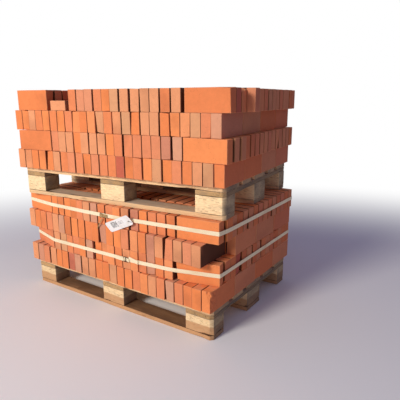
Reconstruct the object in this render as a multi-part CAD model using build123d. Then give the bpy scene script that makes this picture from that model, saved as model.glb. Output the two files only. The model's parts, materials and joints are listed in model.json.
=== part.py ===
from build123d import *
import math
import os
import random
from dataclasses import dataclass, field

# Two flat pallets, one on the other, each loaded with four courses of bricks stood on edge.
# The lower load is held by two flat straps. Millimetres, +Z up, front is -Y, right is +X.
# The origin is on the ground, under the middle of the lower pallet.

# Pallet: overall plan and layers
PALLET_LENGTH = 1200.0
PALLET_WIDTH = 800.0
BOARD_THICKNESS = 22.0
BLOCK_HEIGHT = 78.0
CORNER_CUT = 15.0

# Pallet: widths of the boards and plans of the blocks
WIDE_BOARD = 145.0
NARROW_BOARD = 100.0
BLOCK_LENGTH = 145.0
SIDE_BLOCK_WIDTH = 100.0
MIDDLE_BLOCK_WIDTH = 145.0
ENTRY_BEVEL = 10.0
BEVEL_END = 20.0

# Brick, stood on one of its long edges
BRICK_LENGTH = 210.0
BRICK_HEIGHT = 100.0
BRICK_THICKNESS = 48.0
BRICK_JOINT = 1.0
ROW_JOINT = 2.0
ROWS_DEEP = 4
COURSES = 4
LOAD_LENGTH = 1214.0
MOST_PUSH = 6.0
BROKEN_CORNER_FRONT = 6.0
BROKEN_CORNER_SIDE = 38.0

# Upper pallet: how far off the lower one it was set down
UPPER_SHIFT_X = -6.0
UPPER_SHIFT_Y = 0.0
UPPER_TURN = 5.0

# Straps, and what is on them
STRAP_WIDTH = 19.0
STRAP_THICKNESS = 1.2
SEAT_GAP = 0.3
TOP_STRAP_LIFT = 50.0
BOTTOM_STRAP_LIFT = 51.0

BUCKLE_X = 128.0
BUCKLE_WIRE = 3.5
BUCKLE_LENGTH = 34.0
BUCKLE_HEIGHT = 26.0
BUCKLE_BEND = 5.0
BUCKLE_TAIL_LENGTH = 62.0
BUCKLE_TAIL_TURN = 9.0

KNOT_X = -18.0
KNOT_LENGTH = 24.0
KNOT_HEIGHT = 30.0
KNOT_DEPTH = 8.0
KNOT_ROUNDING = 3.0
KNOT_TAIL_LENGTH = 70.0
KNOT_TAIL_TURN = 25.0

TAG_X = 114.0
TAG_DROP = 46.0
TAG_LENGTH = 160.0
TAG_HEIGHT = 56.0
TAG_THICKNESS = 1.0
TAG_ROUNDING = 4.0
TAG_TURN = 24.0
TAG_LEAN = 23.0

PALLET_HEIGHT = 3 * BOARD_THICKNESS + BLOCK_HEIGHT
LOAD_WIDTH = ROWS_DEEP * BRICK_LENGTH + (ROWS_DEEP - 1) * ROW_JOINT
STACK_HEIGHT = PALLET_HEIGHT + COURSES * BRICK_HEIGHT


@dataclass(frozen=True)
class Course:
    """One course of bricks. Dictionaries are keyed by brick number, from the left or the front; pairs are left, right."""

    count: int
    joints: dict
    turned_ends: bool = False
    shift: float = 0.0
    short: float = 0.0
    end_gaps: tuple = (4.0, 4.0)
    recesses: dict = field(default_factory=dict)
    column_starts: tuple = (0.0, 0.0)
    column_skews: tuple = (0.0, 0.0)
    right_joints: dict = field(default_factory=dict)
    right_pushes: dict = field(default_factory=dict)
    lying_slot: float = 0.0
    corner_missing: bool = False
    corner_broken: bool = False


LOWER_COURSES = (
    Course(
        count=24,
        joints={1: 5, 2: 3, 3: 7, 6: 5, 8: 7, 9: 5, 13: 6, 14: 3, 16: 4, 19: 4},
        shift=-1.0,
        corner_broken=True,
    ),
    Course(
        count=16,
        joints={2: 3, 5: 4, 6: 7, 10: 5},
        turned_ends=True,
        shift=-4.0,
        short=-2.0,
        end_gaps=(1.0, 1.0),
        recesses={7: 8, 8: 8, 13: 4, 14: 7, 15: 9, 16: 14},
        column_starts=(54.0, 68.0),
        column_skews=(15.0, 12.0),
        right_joints={1: 3, 4: 12, 6: 10, 8: 6, 11: 8},
    ),
    Course(
        count=24,
        joints={1: 3, 6: 3, 7: 7, 9: 5, 11: 4, 13: 4, 15: 6, 17: 5, 19: 6, 21: 3},
        shift=-1.5,
        short=1.0,
        corner_missing=True,
    ),
    Course(
        count=16,
        joints={2: 3, 6: 3, 7: 5, 8: 5, 11: 7, 13: 4, 15: 3},
        turned_ends=True,
        short=-14.0,
        end_gaps=(1.0, 3.0),
        recesses={11: 3, 12: 9, 13: 14, 14: 18, 15: 22, 16: 26},
        column_starts=(24.0, 46.0),
        column_skews=(6.5, 4.6),
        right_joints={1: 12, 6: 4, 10: 5},
        right_pushes={2: 9.0},
    ),
)

UPPER_COURSES = (
    Course(
        count=24,
        joints={1: 5, 4: 7, 6: 5, 8: 6, 11: 5, 14: 3, 16: 4, 17: 4, 18: 5, 20: 3, 22: 4},
        shift=-1.0,
    ),
    Course(
        count=15,
        joints={5: 4, 7: 5, 9: 9, 11: 4, 13: 3, 14: 8},
        turned_ends=True,
        shift=26.0,
        short=22.0,
        end_gaps=(7.0, 3.0),
        column_starts=(-17.0, -11.0),
        column_skews=(-4.7, -3.0),
        right_joints={1: 12, 2: 14, 3: 8, 4: 12, 6: 10, 9: 10, 12: 12},
        right_pushes={3: 7.0},
    ),
    Course(
        count=24,
        joints={2: 3, 4: 3, 6: 4, 12: 3, 14: 6, 16: 5, 18: 8},
        shift=-4.5,
        short=17.0,
    ),
    Course(
        count=12,
        joints={1: 4, 3: 5, 6: 8, 7: 7, 8: 6, 9: 3, 10: 8, 11: 4},
        turned_ends=True,
        shift=27.5,
        short=9.0,
        end_gaps=(20.0, 14.0),
        lying_slot=26.0,
        right_joints={3: 3, 5: 8, 8: 9, 11: 9},
        right_pushes={4: 40.0},
    ),
)


def bottom_board_rows():
    """Middle lines and widths of the three boards on the ground, keyed by place."""
    edge = (PALLET_WIDTH - SIDE_BLOCK_WIDTH) / 2
    return {
        "front": (-edge, SIDE_BLOCK_WIDTH),
        "middle": (0.0, MIDDLE_BLOCK_WIDTH),
        "back": (edge, SIDE_BLOCK_WIDTH),
    }


def block_columns():
    """Middle lines of the blocks along the pallet, keyed by place."""
    edge = (PALLET_LENGTH - BLOCK_LENGTH) / 2
    return {"left": -edge, "middle": 0.0, "right": edge}


def pallet_outline():
    """The pallet's whole plan, with its four corners cut, as a tall prism."""
    plan = chamfer(Rectangle(PALLET_LENGTH, PALLET_WIDTH).vertices(), CORNER_CUT)
    return extrude(plan, PALLET_HEIGHT)


def box_on(x, y, z, length, width, height):
    """A box whose bottom face is centred on the point given."""
    return Pos(x, y, z) * Box(length, width, height, align=(Align.CENTER, Align.CENTER, Align.MIN))


def bottom_board(y, width):
    """A board on the ground, bevelled along its inner top edges where a truck's wheels climb over it."""
    board = box_on(0, y, 0, PALLET_LENGTH, width, BOARD_THICKNESS)
    bay = (PALLET_LENGTH - 3 * BLOCK_LENGTH) / 2 - 2 * BEVEL_END
    bay_middle = (BLOCK_LENGTH + bay) / 2 + BEVEL_END
    inner_sides = [side for side in (-1, 1) if side * y <= 0]
    corner = Plane.YZ * Polygon((0, 0), (-ENTRY_BEVEL, 0), (0, -ENTRY_BEVEL), align=None)
    for side in inner_sides:
        strip = extrude(corner, bay / 2, both=True)
        strip = mirror(strip, Plane.XZ) if side < 0 else strip
        for bay_side in (-1, 1):
            board -= Pos(bay_side * bay_middle, y + side * width / 2, BOARD_THICKNESS) * strip
    return board


def deck_rows():
    """Middle lines and widths of the five deck boards, from front to back."""
    widths = [WIDE_BOARD, NARROW_BOARD, WIDE_BOARD, NARROW_BOARD, WIDE_BOARD]
    gap = (PALLET_WIDTH - sum(widths)) / (len(widths) - 1)
    edge = -PALLET_WIDTH / 2
    rows = []
    for width in widths:
        rows.append((edge + width / 2, width))
        edge += width + gap
    return rows


def pallet_parts(prefix):
    """Every board and block of one pallet, keyed by node name, standing at the origin."""
    outline = pallet_outline()
    parts = {}
    for row, (y, width) in bottom_board_rows().items():
        parts[f"{prefix}_bottom_board_{row}"] = bottom_board(y, width) & outline
        for column, x in block_columns().items():
            block = box_on(x, y, BOARD_THICKNESS, BLOCK_LENGTH, width, BLOCK_HEIGHT)
            parts[f"{prefix}_block_{row}_{column}"] = block & outline
    stringer_base = BOARD_THICKNESS + BLOCK_HEIGHT
    for column, x in block_columns().items():
        board = box_on(x, 0, stringer_base, BLOCK_LENGTH, PALLET_WIDTH, BOARD_THICKNESS)
        parts[f"{prefix}_stringer_board_{column}"] = board & outline
    deck_base = stringer_base + BOARD_THICKNESS
    for number, (y, width) in enumerate(deck_rows(), start=1):
        board = box_on(0, y, deck_base, PALLET_LENGTH, width, BOARD_THICKNESS)
        parts[f"{prefix}_deck_board_{number}"] = board & outline
    return {name: [part] for name, part in parts.items()}


def spread(length, joints, count=0):
    """Middles of bricks set side by side along a length. The plain joints share the room that the listed ones leave."""
    count = count or int((length - sum(joints.values()) + BRICK_JOINT) // (BRICK_THICKNESS + BRICK_JOINT))
    opened = {number: joints[number] for number in joints if number < count}
    plain = (length - count * BRICK_THICKNESS - sum(opened.values())) / (count - 1 - len(opened))
    middles = []
    edge = -length / 2
    for number in range(1, count + 1):
        middles.append(edge + BRICK_THICKNESS / 2)
        edge += BRICK_THICKNESS + opened.get(number, plain)
    return middles


def chance_joints(chance):
    """A few open joints for a row that has none listed."""
    numbers = chance.sample(range(1, 14), 5)
    return {number: round(chance.uniform(3, 9), 1) for number in numbers}


def header_row(course, row, z, chance):
    """One row of bricks that run from front to back, as a list of solids from left to right."""
    length = LOAD_LENGTH - course.short
    middle = course.shift
    if course.turned_ends:
        length -= 2 * BRICK_LENGTH + sum(course.end_gaps)
        middle += (course.end_gaps[0] - course.end_gaps[1]) / 2
    y = (row - (ROWS_DEEP - 1) / 2) * (BRICK_LENGTH + ROW_JOINT)
    front = row == 0
    if not front:
        y += max(course.recesses.values(), default=0.0)
    solids = []
    if front and course.lying_slot:
        start = middle - length / 2
        solids.append(box_on(start + BRICK_HEIGHT / 2, y, z, BRICK_HEIGHT, BRICK_LENGTH, BRICK_THICKNESS))
        taken = BRICK_HEIGHT + course.lying_slot
        length -= taken
        middle += taken / 2
    outward = {0: -1, ROWS_DEEP - 1: 1}.get(row, 0)
    middles = spread(length, course.joints, course.count) if front else spread(length, chance_joints(chance))
    for number, x in enumerate(middles, start=1):
        last = number == len(middles)
        push = outward * chance.uniform(0, MOST_PUSH)
        if front and number in course.recesses:
            push = course.recesses[number]
        if front and last and course.corner_missing:
            continue
        brick = box_on(middle + x, y + push, z, BRICK_THICKNESS, BRICK_LENGTH, BRICK_HEIGHT)
        if front and last and course.corner_broken:
            edge = brick.edges().filter_by(Axis.Z).sort_by(Axis.Y)[:2].sort_by(Axis.X)[-1]
            side = brick.faces().sort_by(Axis.X)[-1]
            brick = chamfer(edge, BROKEN_CORNER_SIDE, BROKEN_CORNER_FRONT, reference=side)
        solids.append(brick)
    return solids


def skewed_brick(inner, side, front, skew, z):
    """The front brick of an end column, swung so that its outer end is further back, or further forward if negative."""
    swing = math.sin(math.radians(skew))
    brick = box_on(side * BRICK_LENGTH / 2, BRICK_THICKNESS / 2, 0, BRICK_LENGTH, BRICK_THICKNESS, BRICK_HEIGHT)
    x = inner + side * BRICK_THICKNESS * max(0.0, swing)
    return Pos(x, front - BRICK_LENGTH * swing, z) * Rot(0, 0, side * skew) * brick


def end_column(course, side, z, chance):
    """The bricks turned along the load at one of its ends, as a list of solids from front to back."""
    right = side > 0
    start = course.column_starts[right]
    skew = course.column_skews[right]
    joints = dict(course.right_joints) if right else chance_joints(chance)
    pushes = course.right_pushes if right else {}
    if skew < 0:
        joints[1] = joints.get(1, BRICK_JOINT) - start
    inner = course.shift + side * ((LOAD_LENGTH - course.short) / 2 - BRICK_LENGTH)
    solids = []
    for number, y in enumerate(spread(LOAD_WIDTH - start, joints), start=1):
        push = side * pushes.get(number, chance.uniform(0, MOST_PUSH / 2))
        if number == 1 and skew:
            solids.append(skewed_brick(inner, side, start - LOAD_WIDTH / 2, skew, z))
            continue
        x = inner + side * BRICK_LENGTH / 2 + push
        solids.append(box_on(x, y + start / 2, z, BRICK_LENGTH, BRICK_THICKNESS, BRICK_HEIGHT))
    return solids


def course_bricks(course, z, chance):
    """All the bricks of one course, as separate solids."""
    solids = []
    for row in range(ROWS_DEEP):
        solids += header_row(course, row, z, chance)
    if course.turned_ends:
        for side in (-1, 1):
            solids += end_column(course, side, z, chance)
    return solids


def load_parts(prefix, courses, seed):
    """The courses on one pallet, keyed by node name."""
    chance = random.Random(seed)
    parts = {}
    for number, course in enumerate(courses, start=1):
        z = PALLET_HEIGHT + (number - 1) * BRICK_HEIGHT
        parts[f"{prefix}_bricks_course_{number}"] = course_bricks(course, z, chance)
    return parts


def hull(points):
    """The tight outline round a set of points in plan, counter-clockwise."""
    ordered = sorted(set(points))

    def half(sequence):
        chain = []
        for x, y in sequence:
            while len(chain) > 1:
                (ax, ay), (bx, by) = chain[-2:]
                if (bx - ax) * (y - ay) - (by - ay) * (x - ax) > 0:
                    break
                chain.pop()
            chain.append((x, y))
        return chain[:-1]

    return half(ordered) + half(reversed(ordered))


def strap_plan(bricks):
    """The tight outline in plan round a course of bricks."""
    return hull([(round(v.X, 3), round(v.Y, 3)) for brick in bricks for v in brick.vertices()])


def strap(plan, z):
    """A tight flat band round an outline, centred at a height."""
    area = make_face(Polyline(*plan, close=True))
    inner = offset(area, SEAT_GAP, kind=Kind.INTERSECTION)
    outer = offset(area, SEAT_GAP + STRAP_THICKNESS, kind=Kind.INTERSECTION)
    return Pos(0, 0, z - STRAP_WIDTH / 2) * extrude(outer - inner, STRAP_WIDTH)


def front_of(plan, x, reach):
    """How far forward an outline comes between x - reach and x + reach."""
    fronts = []
    for (ax, ay), (bx, by) in zip(plan, plan[1:] + plan[:1]):
        for at in (x - reach, x + reach):
            if min(ax, bx) <= at <= max(ax, bx) and ax != bx:
                fronts.append(ay + (by - ay) * (at - ax) / (bx - ax))
        fronts += [ay] if abs(ax - x) < reach else []
    return min(fronts)


def buckle():
    """A wire buckle: a frame with cut corners and a bar across it, lying against the plane y = 0."""
    outer = chamfer(Rectangle(BUCKLE_LENGTH, BUCKLE_HEIGHT).vertices(), BUCKLE_BEND)
    inner = offset(outer, -BUCKLE_WIRE)
    bar = Rectangle(BUCKLE_WIRE, BUCKLE_HEIGHT - BUCKLE_WIRE)
    return extrude(Plane.XZ * (outer - inner + bar), BUCKLE_WIRE)


def knot():
    """The strap's end folded over itself, as one soft lump standing out from the plane y = 0."""
    lump = Pos(0, -KNOT_DEPTH / 2, 0) * Box(KNOT_LENGTH, KNOT_DEPTH, KNOT_HEIGHT)
    outer = lump.faces().sort_by(Axis.Y)[0].edges()
    return chamfer(outer, KNOT_ROUNDING)


def tail(length, turn):
    """A loose strap end that lies against the plane y = 0 and starts at the origin."""
    strip = Box(length, STRAP_THICKNESS, STRAP_WIDTH, align=(Align.MIN, Align.MAX, Align.CENTER))
    return Rot(0, turn, 0) * strip


def tail_swing(turn):
    """How far a tail's square end reaches back from its middle when it is turned."""
    return STRAP_WIDTH / 2 * math.sin(math.radians(turn))


def tag():
    """A thin card stood on its lower edge at the origin, turned in its plane and tipped outward at the top."""
    card = Rectangle(TAG_LENGTH, TAG_HEIGHT, align=(Align.CENTER, Align.MIN))
    card = chamfer(card.vertices(), TAG_ROUNDING)
    plate = extrude(Plane.XZ * card, TAG_THICKNESS)
    return Rot(0, -TAG_TURN, 0) * Rot(TAG_LEAN, 0, 0) * plate


def strap_parts(load):
    """Both straps of the lower load, with the knot, buckle, loose ends and tag that are on them."""
    top_plan = strap_plan(load["lower_bricks_course_4"])
    under_plan = strap_plan(load["lower_bricks_course_3"])
    bottom_plan = strap_plan(load["lower_bricks_course_2"])
    top_z = PALLET_HEIGHT + (COURSES - 1) * BRICK_HEIGHT + TOP_STRAP_LIFT
    bottom_z = PALLET_HEIGHT + BRICK_HEIGHT + BOTTOM_STRAP_LIFT
    over_strap = SEAT_GAP + STRAP_THICKNESS + SEAT_GAP
    buckle_y = front_of(bottom_plan, BUCKLE_X, BUCKLE_LENGTH / 2) - over_strap
    buckle_end = BUCKLE_X + BUCKLE_LENGTH / 2 + tail_swing(BUCKLE_TAIL_TURN) + SEAT_GAP
    buckle_tail_y = front_of(bottom_plan, buckle_end, BUCKLE_TAIL_LENGTH) - over_strap
    buckle_foot = Pos(buckle_end, buckle_tail_y, bottom_z)
    knot_y = front_of(top_plan, KNOT_X, KNOT_LENGTH) - over_strap
    knot_tail_z = top_z - KNOT_HEIGHT / 2 - tail_swing(KNOT_TAIL_TURN) - SEAT_GAP
    tag_y = min(front_of(plan, TAG_X, TAG_LENGTH / 2) for plan in (top_plan, under_plan)) - SEAT_GAP
    return {
        "top_strap": [strap(top_plan, top_z)],
        "bottom_strap": [strap(bottom_plan, bottom_z)],
        "strap_buckle": [Pos(BUCKLE_X, buckle_y, bottom_z) * buckle()],
        "bottom_strap_tail": [buckle_foot * tail(BUCKLE_TAIL_LENGTH, -BUCKLE_TAIL_TURN)],
        "strap_knot": [Pos(KNOT_X, knot_y, top_z) * knot()],
        "top_strap_tail": [Pos(KNOT_X, knot_y, knot_tail_z) * tail(KNOT_TAIL_LENGTH, 90 + KNOT_TAIL_TURN)],
        "tag": [Pos(TAG_X, tag_y, top_z - TAG_DROP) * tag()],
    }


def moved(parts, place):
    """The same parts at another place."""
    return {name: [place * solid for solid in solids] for name, solids in parts.items()}


def build():
    """Every node of the stack, keyed by name."""
    lower_load = load_parts("lower", LOWER_COURSES, 11)
    upper = pallet_parts("upper") | load_parts("upper", UPPER_COURSES, 12)
    place = Location((UPPER_SHIFT_X, UPPER_SHIFT_Y, STACK_HEIGHT), (0, 0, UPPER_TURN))
    return pallet_parts("lower") | lower_load | strap_parts(lower_load) | moved(upper, place)


def write(parts):
    """Write each node to its own STEP file."""
    os.makedirs("parts", exist_ok=True)
    for name, solids in parts.items():
        shape = solids[0] if len(solids) == 1 else Compound(children=solids)
        export_step(shape, f"parts/{name}.step")


write(build())
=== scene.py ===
"""Two loaded brick pallets, one stood on the other: fine forms and finishes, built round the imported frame."""

import json
import logging
import math
from dataclasses import dataclass, field
from enum import Enum
from typing import Any, Iterable, Sequence

import bmesh
import bpy
import numpy as np
from mathutils import Euler, Matrix, Vector, noise

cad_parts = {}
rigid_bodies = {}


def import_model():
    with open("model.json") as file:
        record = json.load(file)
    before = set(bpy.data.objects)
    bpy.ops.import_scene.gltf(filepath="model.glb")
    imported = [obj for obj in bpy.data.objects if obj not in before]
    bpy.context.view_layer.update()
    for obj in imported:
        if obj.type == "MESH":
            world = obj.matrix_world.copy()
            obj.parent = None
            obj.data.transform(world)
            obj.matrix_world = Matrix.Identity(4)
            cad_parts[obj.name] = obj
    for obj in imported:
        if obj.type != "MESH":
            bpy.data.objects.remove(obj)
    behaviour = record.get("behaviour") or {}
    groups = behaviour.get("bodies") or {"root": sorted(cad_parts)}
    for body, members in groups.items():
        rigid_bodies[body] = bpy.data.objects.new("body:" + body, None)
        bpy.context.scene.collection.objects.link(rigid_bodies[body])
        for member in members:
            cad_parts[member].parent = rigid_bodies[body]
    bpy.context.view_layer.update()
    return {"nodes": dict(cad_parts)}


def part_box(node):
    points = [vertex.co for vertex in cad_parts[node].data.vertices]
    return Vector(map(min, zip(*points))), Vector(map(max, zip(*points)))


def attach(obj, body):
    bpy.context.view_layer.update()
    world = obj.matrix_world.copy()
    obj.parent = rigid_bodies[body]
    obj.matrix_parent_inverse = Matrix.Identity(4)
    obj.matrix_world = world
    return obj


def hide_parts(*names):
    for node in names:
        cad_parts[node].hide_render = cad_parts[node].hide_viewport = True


log = logging.getLogger("brick_pallets")

BODY = "root"
WELD = 1e-5
MM = 0.001
STRAP_WIDTH = 0.019
STRAP_CORDS = 12

Colour = tuple[float, float, float, float]
Spot = tuple[float, float, float]
WHITE: Colour = (1.0, 1.0, 1.0, 1.0)


# Shader and geometry graphs


def tint(code: str) -> Colour:
    """Turn a written colour into the linear colour that Blender's sockets hold.

    Args:
        code: six hexadecimal digits, red first.

    Returns:
        Red, green, blue and a full alpha.
    """
    levels = [int(code[at : at + 2], 16) / 255 for at in (0, 2, 4)]
    linear = [level / 12.92 if level <= 0.04045 else ((level + 0.055) / 1.055) ** 2.4 for level in levels]
    return (*linear, 1.0)


class Shade:
    """One outlet of a node, usable in arithmetic."""

    def __init__(self, graph: "Graph", socket: bpy.types.NodeSocket) -> None:
        """Wrap an outlet of a node that stands in a graph."""
        self.graph = graph
        self.socket = socket

    def outlet(self, name: str | int) -> "Shade":
        """Another outlet of the same node."""
        return Shade(self.graph, self.socket.node.outputs[name])

    def _maths(self, operation: str, *values: Any) -> "Shade":
        """Add a Math node that works on the values."""
        return self.graph.node("ShaderNodeMath", {"operation": operation}, dict(enumerate(values)))

    def _vector(self, operation: str, *values: Any) -> "Shade":
        """Add a Vector Math node that works on the values."""
        return self.graph.node("ShaderNodeVectorMath", {"operation": operation}, dict(enumerate(values)))

    def __add__(self, other: Any) -> "Shade":
        """This plus a number or shade."""
        return self._maths("ADD", self, other)

    def __radd__(self, other: Any) -> "Shade":
        """A number plus this."""
        return self._maths("ADD", other, self)

    def __sub__(self, other: Any) -> "Shade":
        """This less a number or shade."""
        return self._maths("SUBTRACT", self, other)

    def __rsub__(self, other: Any) -> "Shade":
        """A number less this."""
        return self._maths("SUBTRACT", other, self)

    def __mul__(self, other: Any) -> "Shade":
        """This times a number or shade."""
        return self._maths("MULTIPLY", self, other)

    def __truediv__(self, other: Any) -> "Shade":
        """This divided by a number or shade."""
        return self._maths("DIVIDE", self, other)

    def __rtruediv__(self, other: Any) -> "Shade":
        """A number divided by this."""
        return self._maths("DIVIDE", other, self)

    def __abs__(self) -> "Shade":
        """This without its sign."""
        return self._maths("ABSOLUTE", self)

    def __pow__(self, other: Any) -> "Shade":
        """This raised to a power."""
        return self._maths("POWER", self, other)

    def __mod__(self, other: Any) -> "Shade":
        """What is left of this after whole steps."""
        return self._maths("FLOORED_MODULO", self, other)

    def least(self, other: Any) -> "Shade":
        """The smaller of this and another."""
        return self._maths("MINIMUM", self, other)

    def most(self, other: Any) -> "Shade":
        """The larger of this and another."""
        return self._maths("MAXIMUM", self, other)

    def moved(self, by: Any) -> "Shade":
        """This place moved by a vector or shade."""
        return self._vector("ADD", self, by)

    def stretched(self, by: Any) -> "Shade":
        """This place with each axis multiplied."""
        return self._vector("MULTIPLY", self, by)

    def axes(self) -> tuple["Shade", "Shade", "Shade"]:
        """The three parts of this place."""
        split = self.graph.node("ShaderNodeSeparateXYZ", sockets={0: self})
        return split, split.outlet(1), split.outlet(2)

    def ease(self, low: float, high: float) -> "Shade":
        """Rise smoothly from 0 to 1 between two levels, or fall where the first is the higher.

        Args:
            low: the level at which the result is 0.
            high: the level at which the result is 1.

        Returns:
            The eased shade.
        """
        ends = (low, high, 0.0, 1.0) if low < high else (high, low, 1.0, 0.0)
        settings = {"interpolation_type": "SMOOTHSTEP", "clamp": True}
        return self.graph.node("ShaderNodeMapRange", settings, dict(enumerate((self, *ends))))


class Graph:
    """A node tree being built, with the method that makes all its nodes."""

    def __init__(self, tree: bpy.types.NodeTree) -> None:
        """Start on an empty tree."""
        self.tree = tree
        tree.nodes.clear()

    def node(
        self,
        kind: str,
        settings: dict[str, Any] | None = None,
        sockets: dict[str | int, Any] | None = None,
        outlet: str | int = 0,
    ) -> Shade:
        """Add a node, set it up and feed it.

        Args:
            kind: Blender's name for the node's type.
            settings: properties of the node, and stops for a colour ramp, set before any socket.
            sockets: values or shades for the node's inlets, by name or number.
            outlet: the outlet to return.

        Returns:
            The outlet named.
        """
        made = self.tree.nodes.new(kind)
        column, row = divmod(len(self.tree.nodes), 8)
        made.location = (220 * column, -180 * row)
        for name, value in (settings or {}).items():
            if name == "stops":
                self._set_stops(made.color_ramp, value)
            else:
                setattr(made, name, value)
        for key, value in (sockets or {}).items():
            self.feed(value, made.inputs[key])
        return Shade(self, made.outputs[outlet]) if len(made.outputs) else Shade(self, None)

    def feed(self, value: Any, socket: bpy.types.NodeSocket) -> None:
        """Link a shade to an inlet, or write a plain value into it."""
        if isinstance(value, Shade):
            self.tree.links.new(value.socket, socket)
        else:
            socket.default_value = value

    def seen(self) -> Shade:
        """One where the camera, a reflection or a clear surface looks, and nothing where light falls."""
        rays = self.node("ShaderNodeLightPath", outlet="Is Camera Ray")
        return rays.most(rays.outlet("Is Glossy Ray")).most(rays.outlet("Is Transmission Ray"))

    @staticmethod
    def _set_stops(ramp: bpy.types.ColorRamp, stops: Sequence[tuple[float, Colour]]) -> None:
        """Write the stops of a colour ramp."""
        while len(ramp.elements) < len(stops):
            ramp.elements.new(1.0)
        for element, (place, colour) in zip(ramp.elements, stops):
            element.position = place
            element.color = colour


class Recipe(Graph):
    """A material's node tree, with the steps that several finishes share."""

    def __init__(self, name: str) -> None:
        """Make an empty material."""
        self.material = bpy.data.materials.new(name)
        self.material.use_nodes = True
        super().__init__(self.material.node_tree)

    def attribute(self, name: str, outlet: str = "Fac") -> Shade:
        """A value stored on the mesh."""
        return self.node("ShaderNodeAttribute", {"attribute_name": name}, outlet=outlet)

    def cloud(self, at: Shade, size: float, detail: float = 3.0, roughness: float = 0.55) -> Shade:
        """Soft noise whose blots are about as wide as a size in metres.

        Args:
            at: the place that the noise is read at.
            size: width of a blot.
            detail: number of finer layers.
            roughness: weight of the finer layers.

        Returns:
            A shade round 0.5.
        """
        sockets = {"Vector": at, "Scale": 0.5 / size, "Detail": detail, "Roughness": roughness}
        return self.node("ShaderNodeTexNoise", {"noise_dimensions": "3D"}, sockets)

    def cells(self, at: Shade, size: float, outlet: str = "Distance") -> Shade:
        """Scattered cells about as wide as a size in metres."""
        sockets = {"Vector": at, "Scale": 1 / size, "Randomness": 1.0}
        return self.node("ShaderNodeTexVoronoi", {"feature": "F1"}, sockets, outlet)

    def mixed(self, factor: Any, first: Any, second: Any, blend: str = "MIX") -> Shade:
        """Mix two colours.

        Args:
            factor: how far the second shows.
            first: the colour underneath.
            second: the colour over it.
            blend: the way the two mix.

        Returns:
            The mixed colour.
        """
        settings = {"data_type": "RGBA", "blend_type": blend, "clamp_factor": True}
        return self.node("ShaderNodeMix", settings, {0: factor, 6: first, 7: second}, 2)

    def scaled(self, colour: Any, level: Shade) -> Shade:
        """A colour made lighter or darker by a number."""
        grey = self.node("ShaderNodeCombineColor", sockets={0: level, 1: level, 2: level})
        return self.mixed(1.0, colour, grey, "MULTIPLY")

    def varied(self, colour: Any, by: Shade, strength: float, level: float = 1.0) -> Shade:
        """A colour made lighter and darker by a shade round 0.5.

        Args:
            colour: the colour.
            by: the shade.
            strength: from the darkest to the lightest, as a share of the colour.
            level: how light it is on the whole.

        Returns:
            The varied colour.
        """
        return self.scaled(colour, by * strength + (level - strength / 2))

    def facing(self, axis: int) -> Shade:
        """How far the surface faces along an axis of the scene."""
        return self.node("ShaderNodeNewGeometry", outlet="Normal").axes()[axis]

    def done(
        self,
        colour: Any,
        roughness: Any,
        height: Shade | None = None,
        **fixed: Any,
    ) -> bpy.types.Material:
        """Close the material with its shader.

        Args:
            colour: the base colour.
            roughness: the roughness.
            height: relief in metres, if the surface has some.
            fixed: plain values for the shader's other sockets, with spaces as underscores.

        Returns:
            The finished material.
        """
        sockets: dict[str | int, Any] = {"Base Color": colour, "Roughness": roughness}
        if height is not None:
            relief = {"Strength": 1.0, "Distance": 1.0, "Height": height}
            sockets["Normal"] = self.node("ShaderNodeBump", sockets=relief)
        sockets.update({name.replace("_", " "): value for name, value in fixed.items()})
        shader = self.node("ShaderNodeBsdfPrincipled", sockets=sockets)
        self.node("ShaderNodeOutputMaterial", sockets={"Surface": shader})
        return self.material


class Shaper(Graph):
    """A geometry tree with named inputs, run once over a mesh and turned into a plain mesh."""

    KINDS = {
        float: "NodeSocketFloat",
        int: "NodeSocketInt",
        bpy.types.Object: "NodeSocketObject",
        bpy.types.Collection: "NodeSocketCollection",
        bpy.types.Material: "NodeSocketMaterial",
    }

    def __init__(self, name: str, inputs: dict[str, Any]) -> None:
        """Make a tree whose inputs are named and hold the values given.

        Args:
            name: name of the tree.
            inputs: values of the named inputs.
        """
        super().__init__(bpy.data.node_groups.new(name, "GeometryNodeTree"))
        self.values = inputs
        face = self.tree.interface
        face.new_socket("Geometry", in_out="INPUT", socket_type="NodeSocketGeometry")
        for label, value in inputs.items():
            kind = next(name for known, name in self.KINDS.items() if isinstance(value, known))
            face.new_socket(label, in_out="INPUT", socket_type=kind)
        face.new_socket("Geometry", in_out="OUTPUT", socket_type="NodeSocketGeometry")
        self.start = self.node("NodeGroupInput")

    def named(self, label: str) -> Shade:
        """One of the tree's inputs."""
        return self.start.outlet(label)

    def stored(self, name: str, kind: str = "FLOAT") -> Shade:
        """A value stored on the geometry."""
        return self.node("GeometryNodeInputNamedAttribute", {"data_type": kind}, {"Name": name})

    def finish(self, geometry: Shade) -> None:
        """Close the tree: real geometry in the tree's material."""
        real = self.node("GeometryNodeRealizeInstances", sockets={0: geometry})
        dressed = self.node("GeometryNodeSetMaterial", sockets={0: real, "Material": self.named("Material")})
        self.node("NodeGroupOutput", sockets={0: dressed})

    def run(self, mesh: bpy.types.Mesh) -> bpy.types.Mesh:
        """Run the tree over a mesh.

        Args:
            mesh: the mesh that the tree starts from.

        Returns:
            The result as a new plain mesh.
        """
        carrier = bpy.data.objects.new(mesh.name, mesh)
        bpy.context.scene.collection.objects.link(carrier)
        modifier = carrier.modifiers.new("shape", "NODES")
        modifier.node_group = self.tree
        for item in self.tree.interface.items_tree:
            if item.in_out == "INPUT" and item.name in self.values:
                modifier[item.identifier] = self.values[item.name]
        depsgraph = bpy.context.evaluated_depsgraph_get()
        shaped = carrier.evaluated_get(depsgraph)
        result = bpy.data.meshes.new_from_object(shaped, preserve_all_data_layers=True, depsgraph=depsgraph)
        bpy.data.objects.remove(carrier)
        return result


# Finishes


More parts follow.
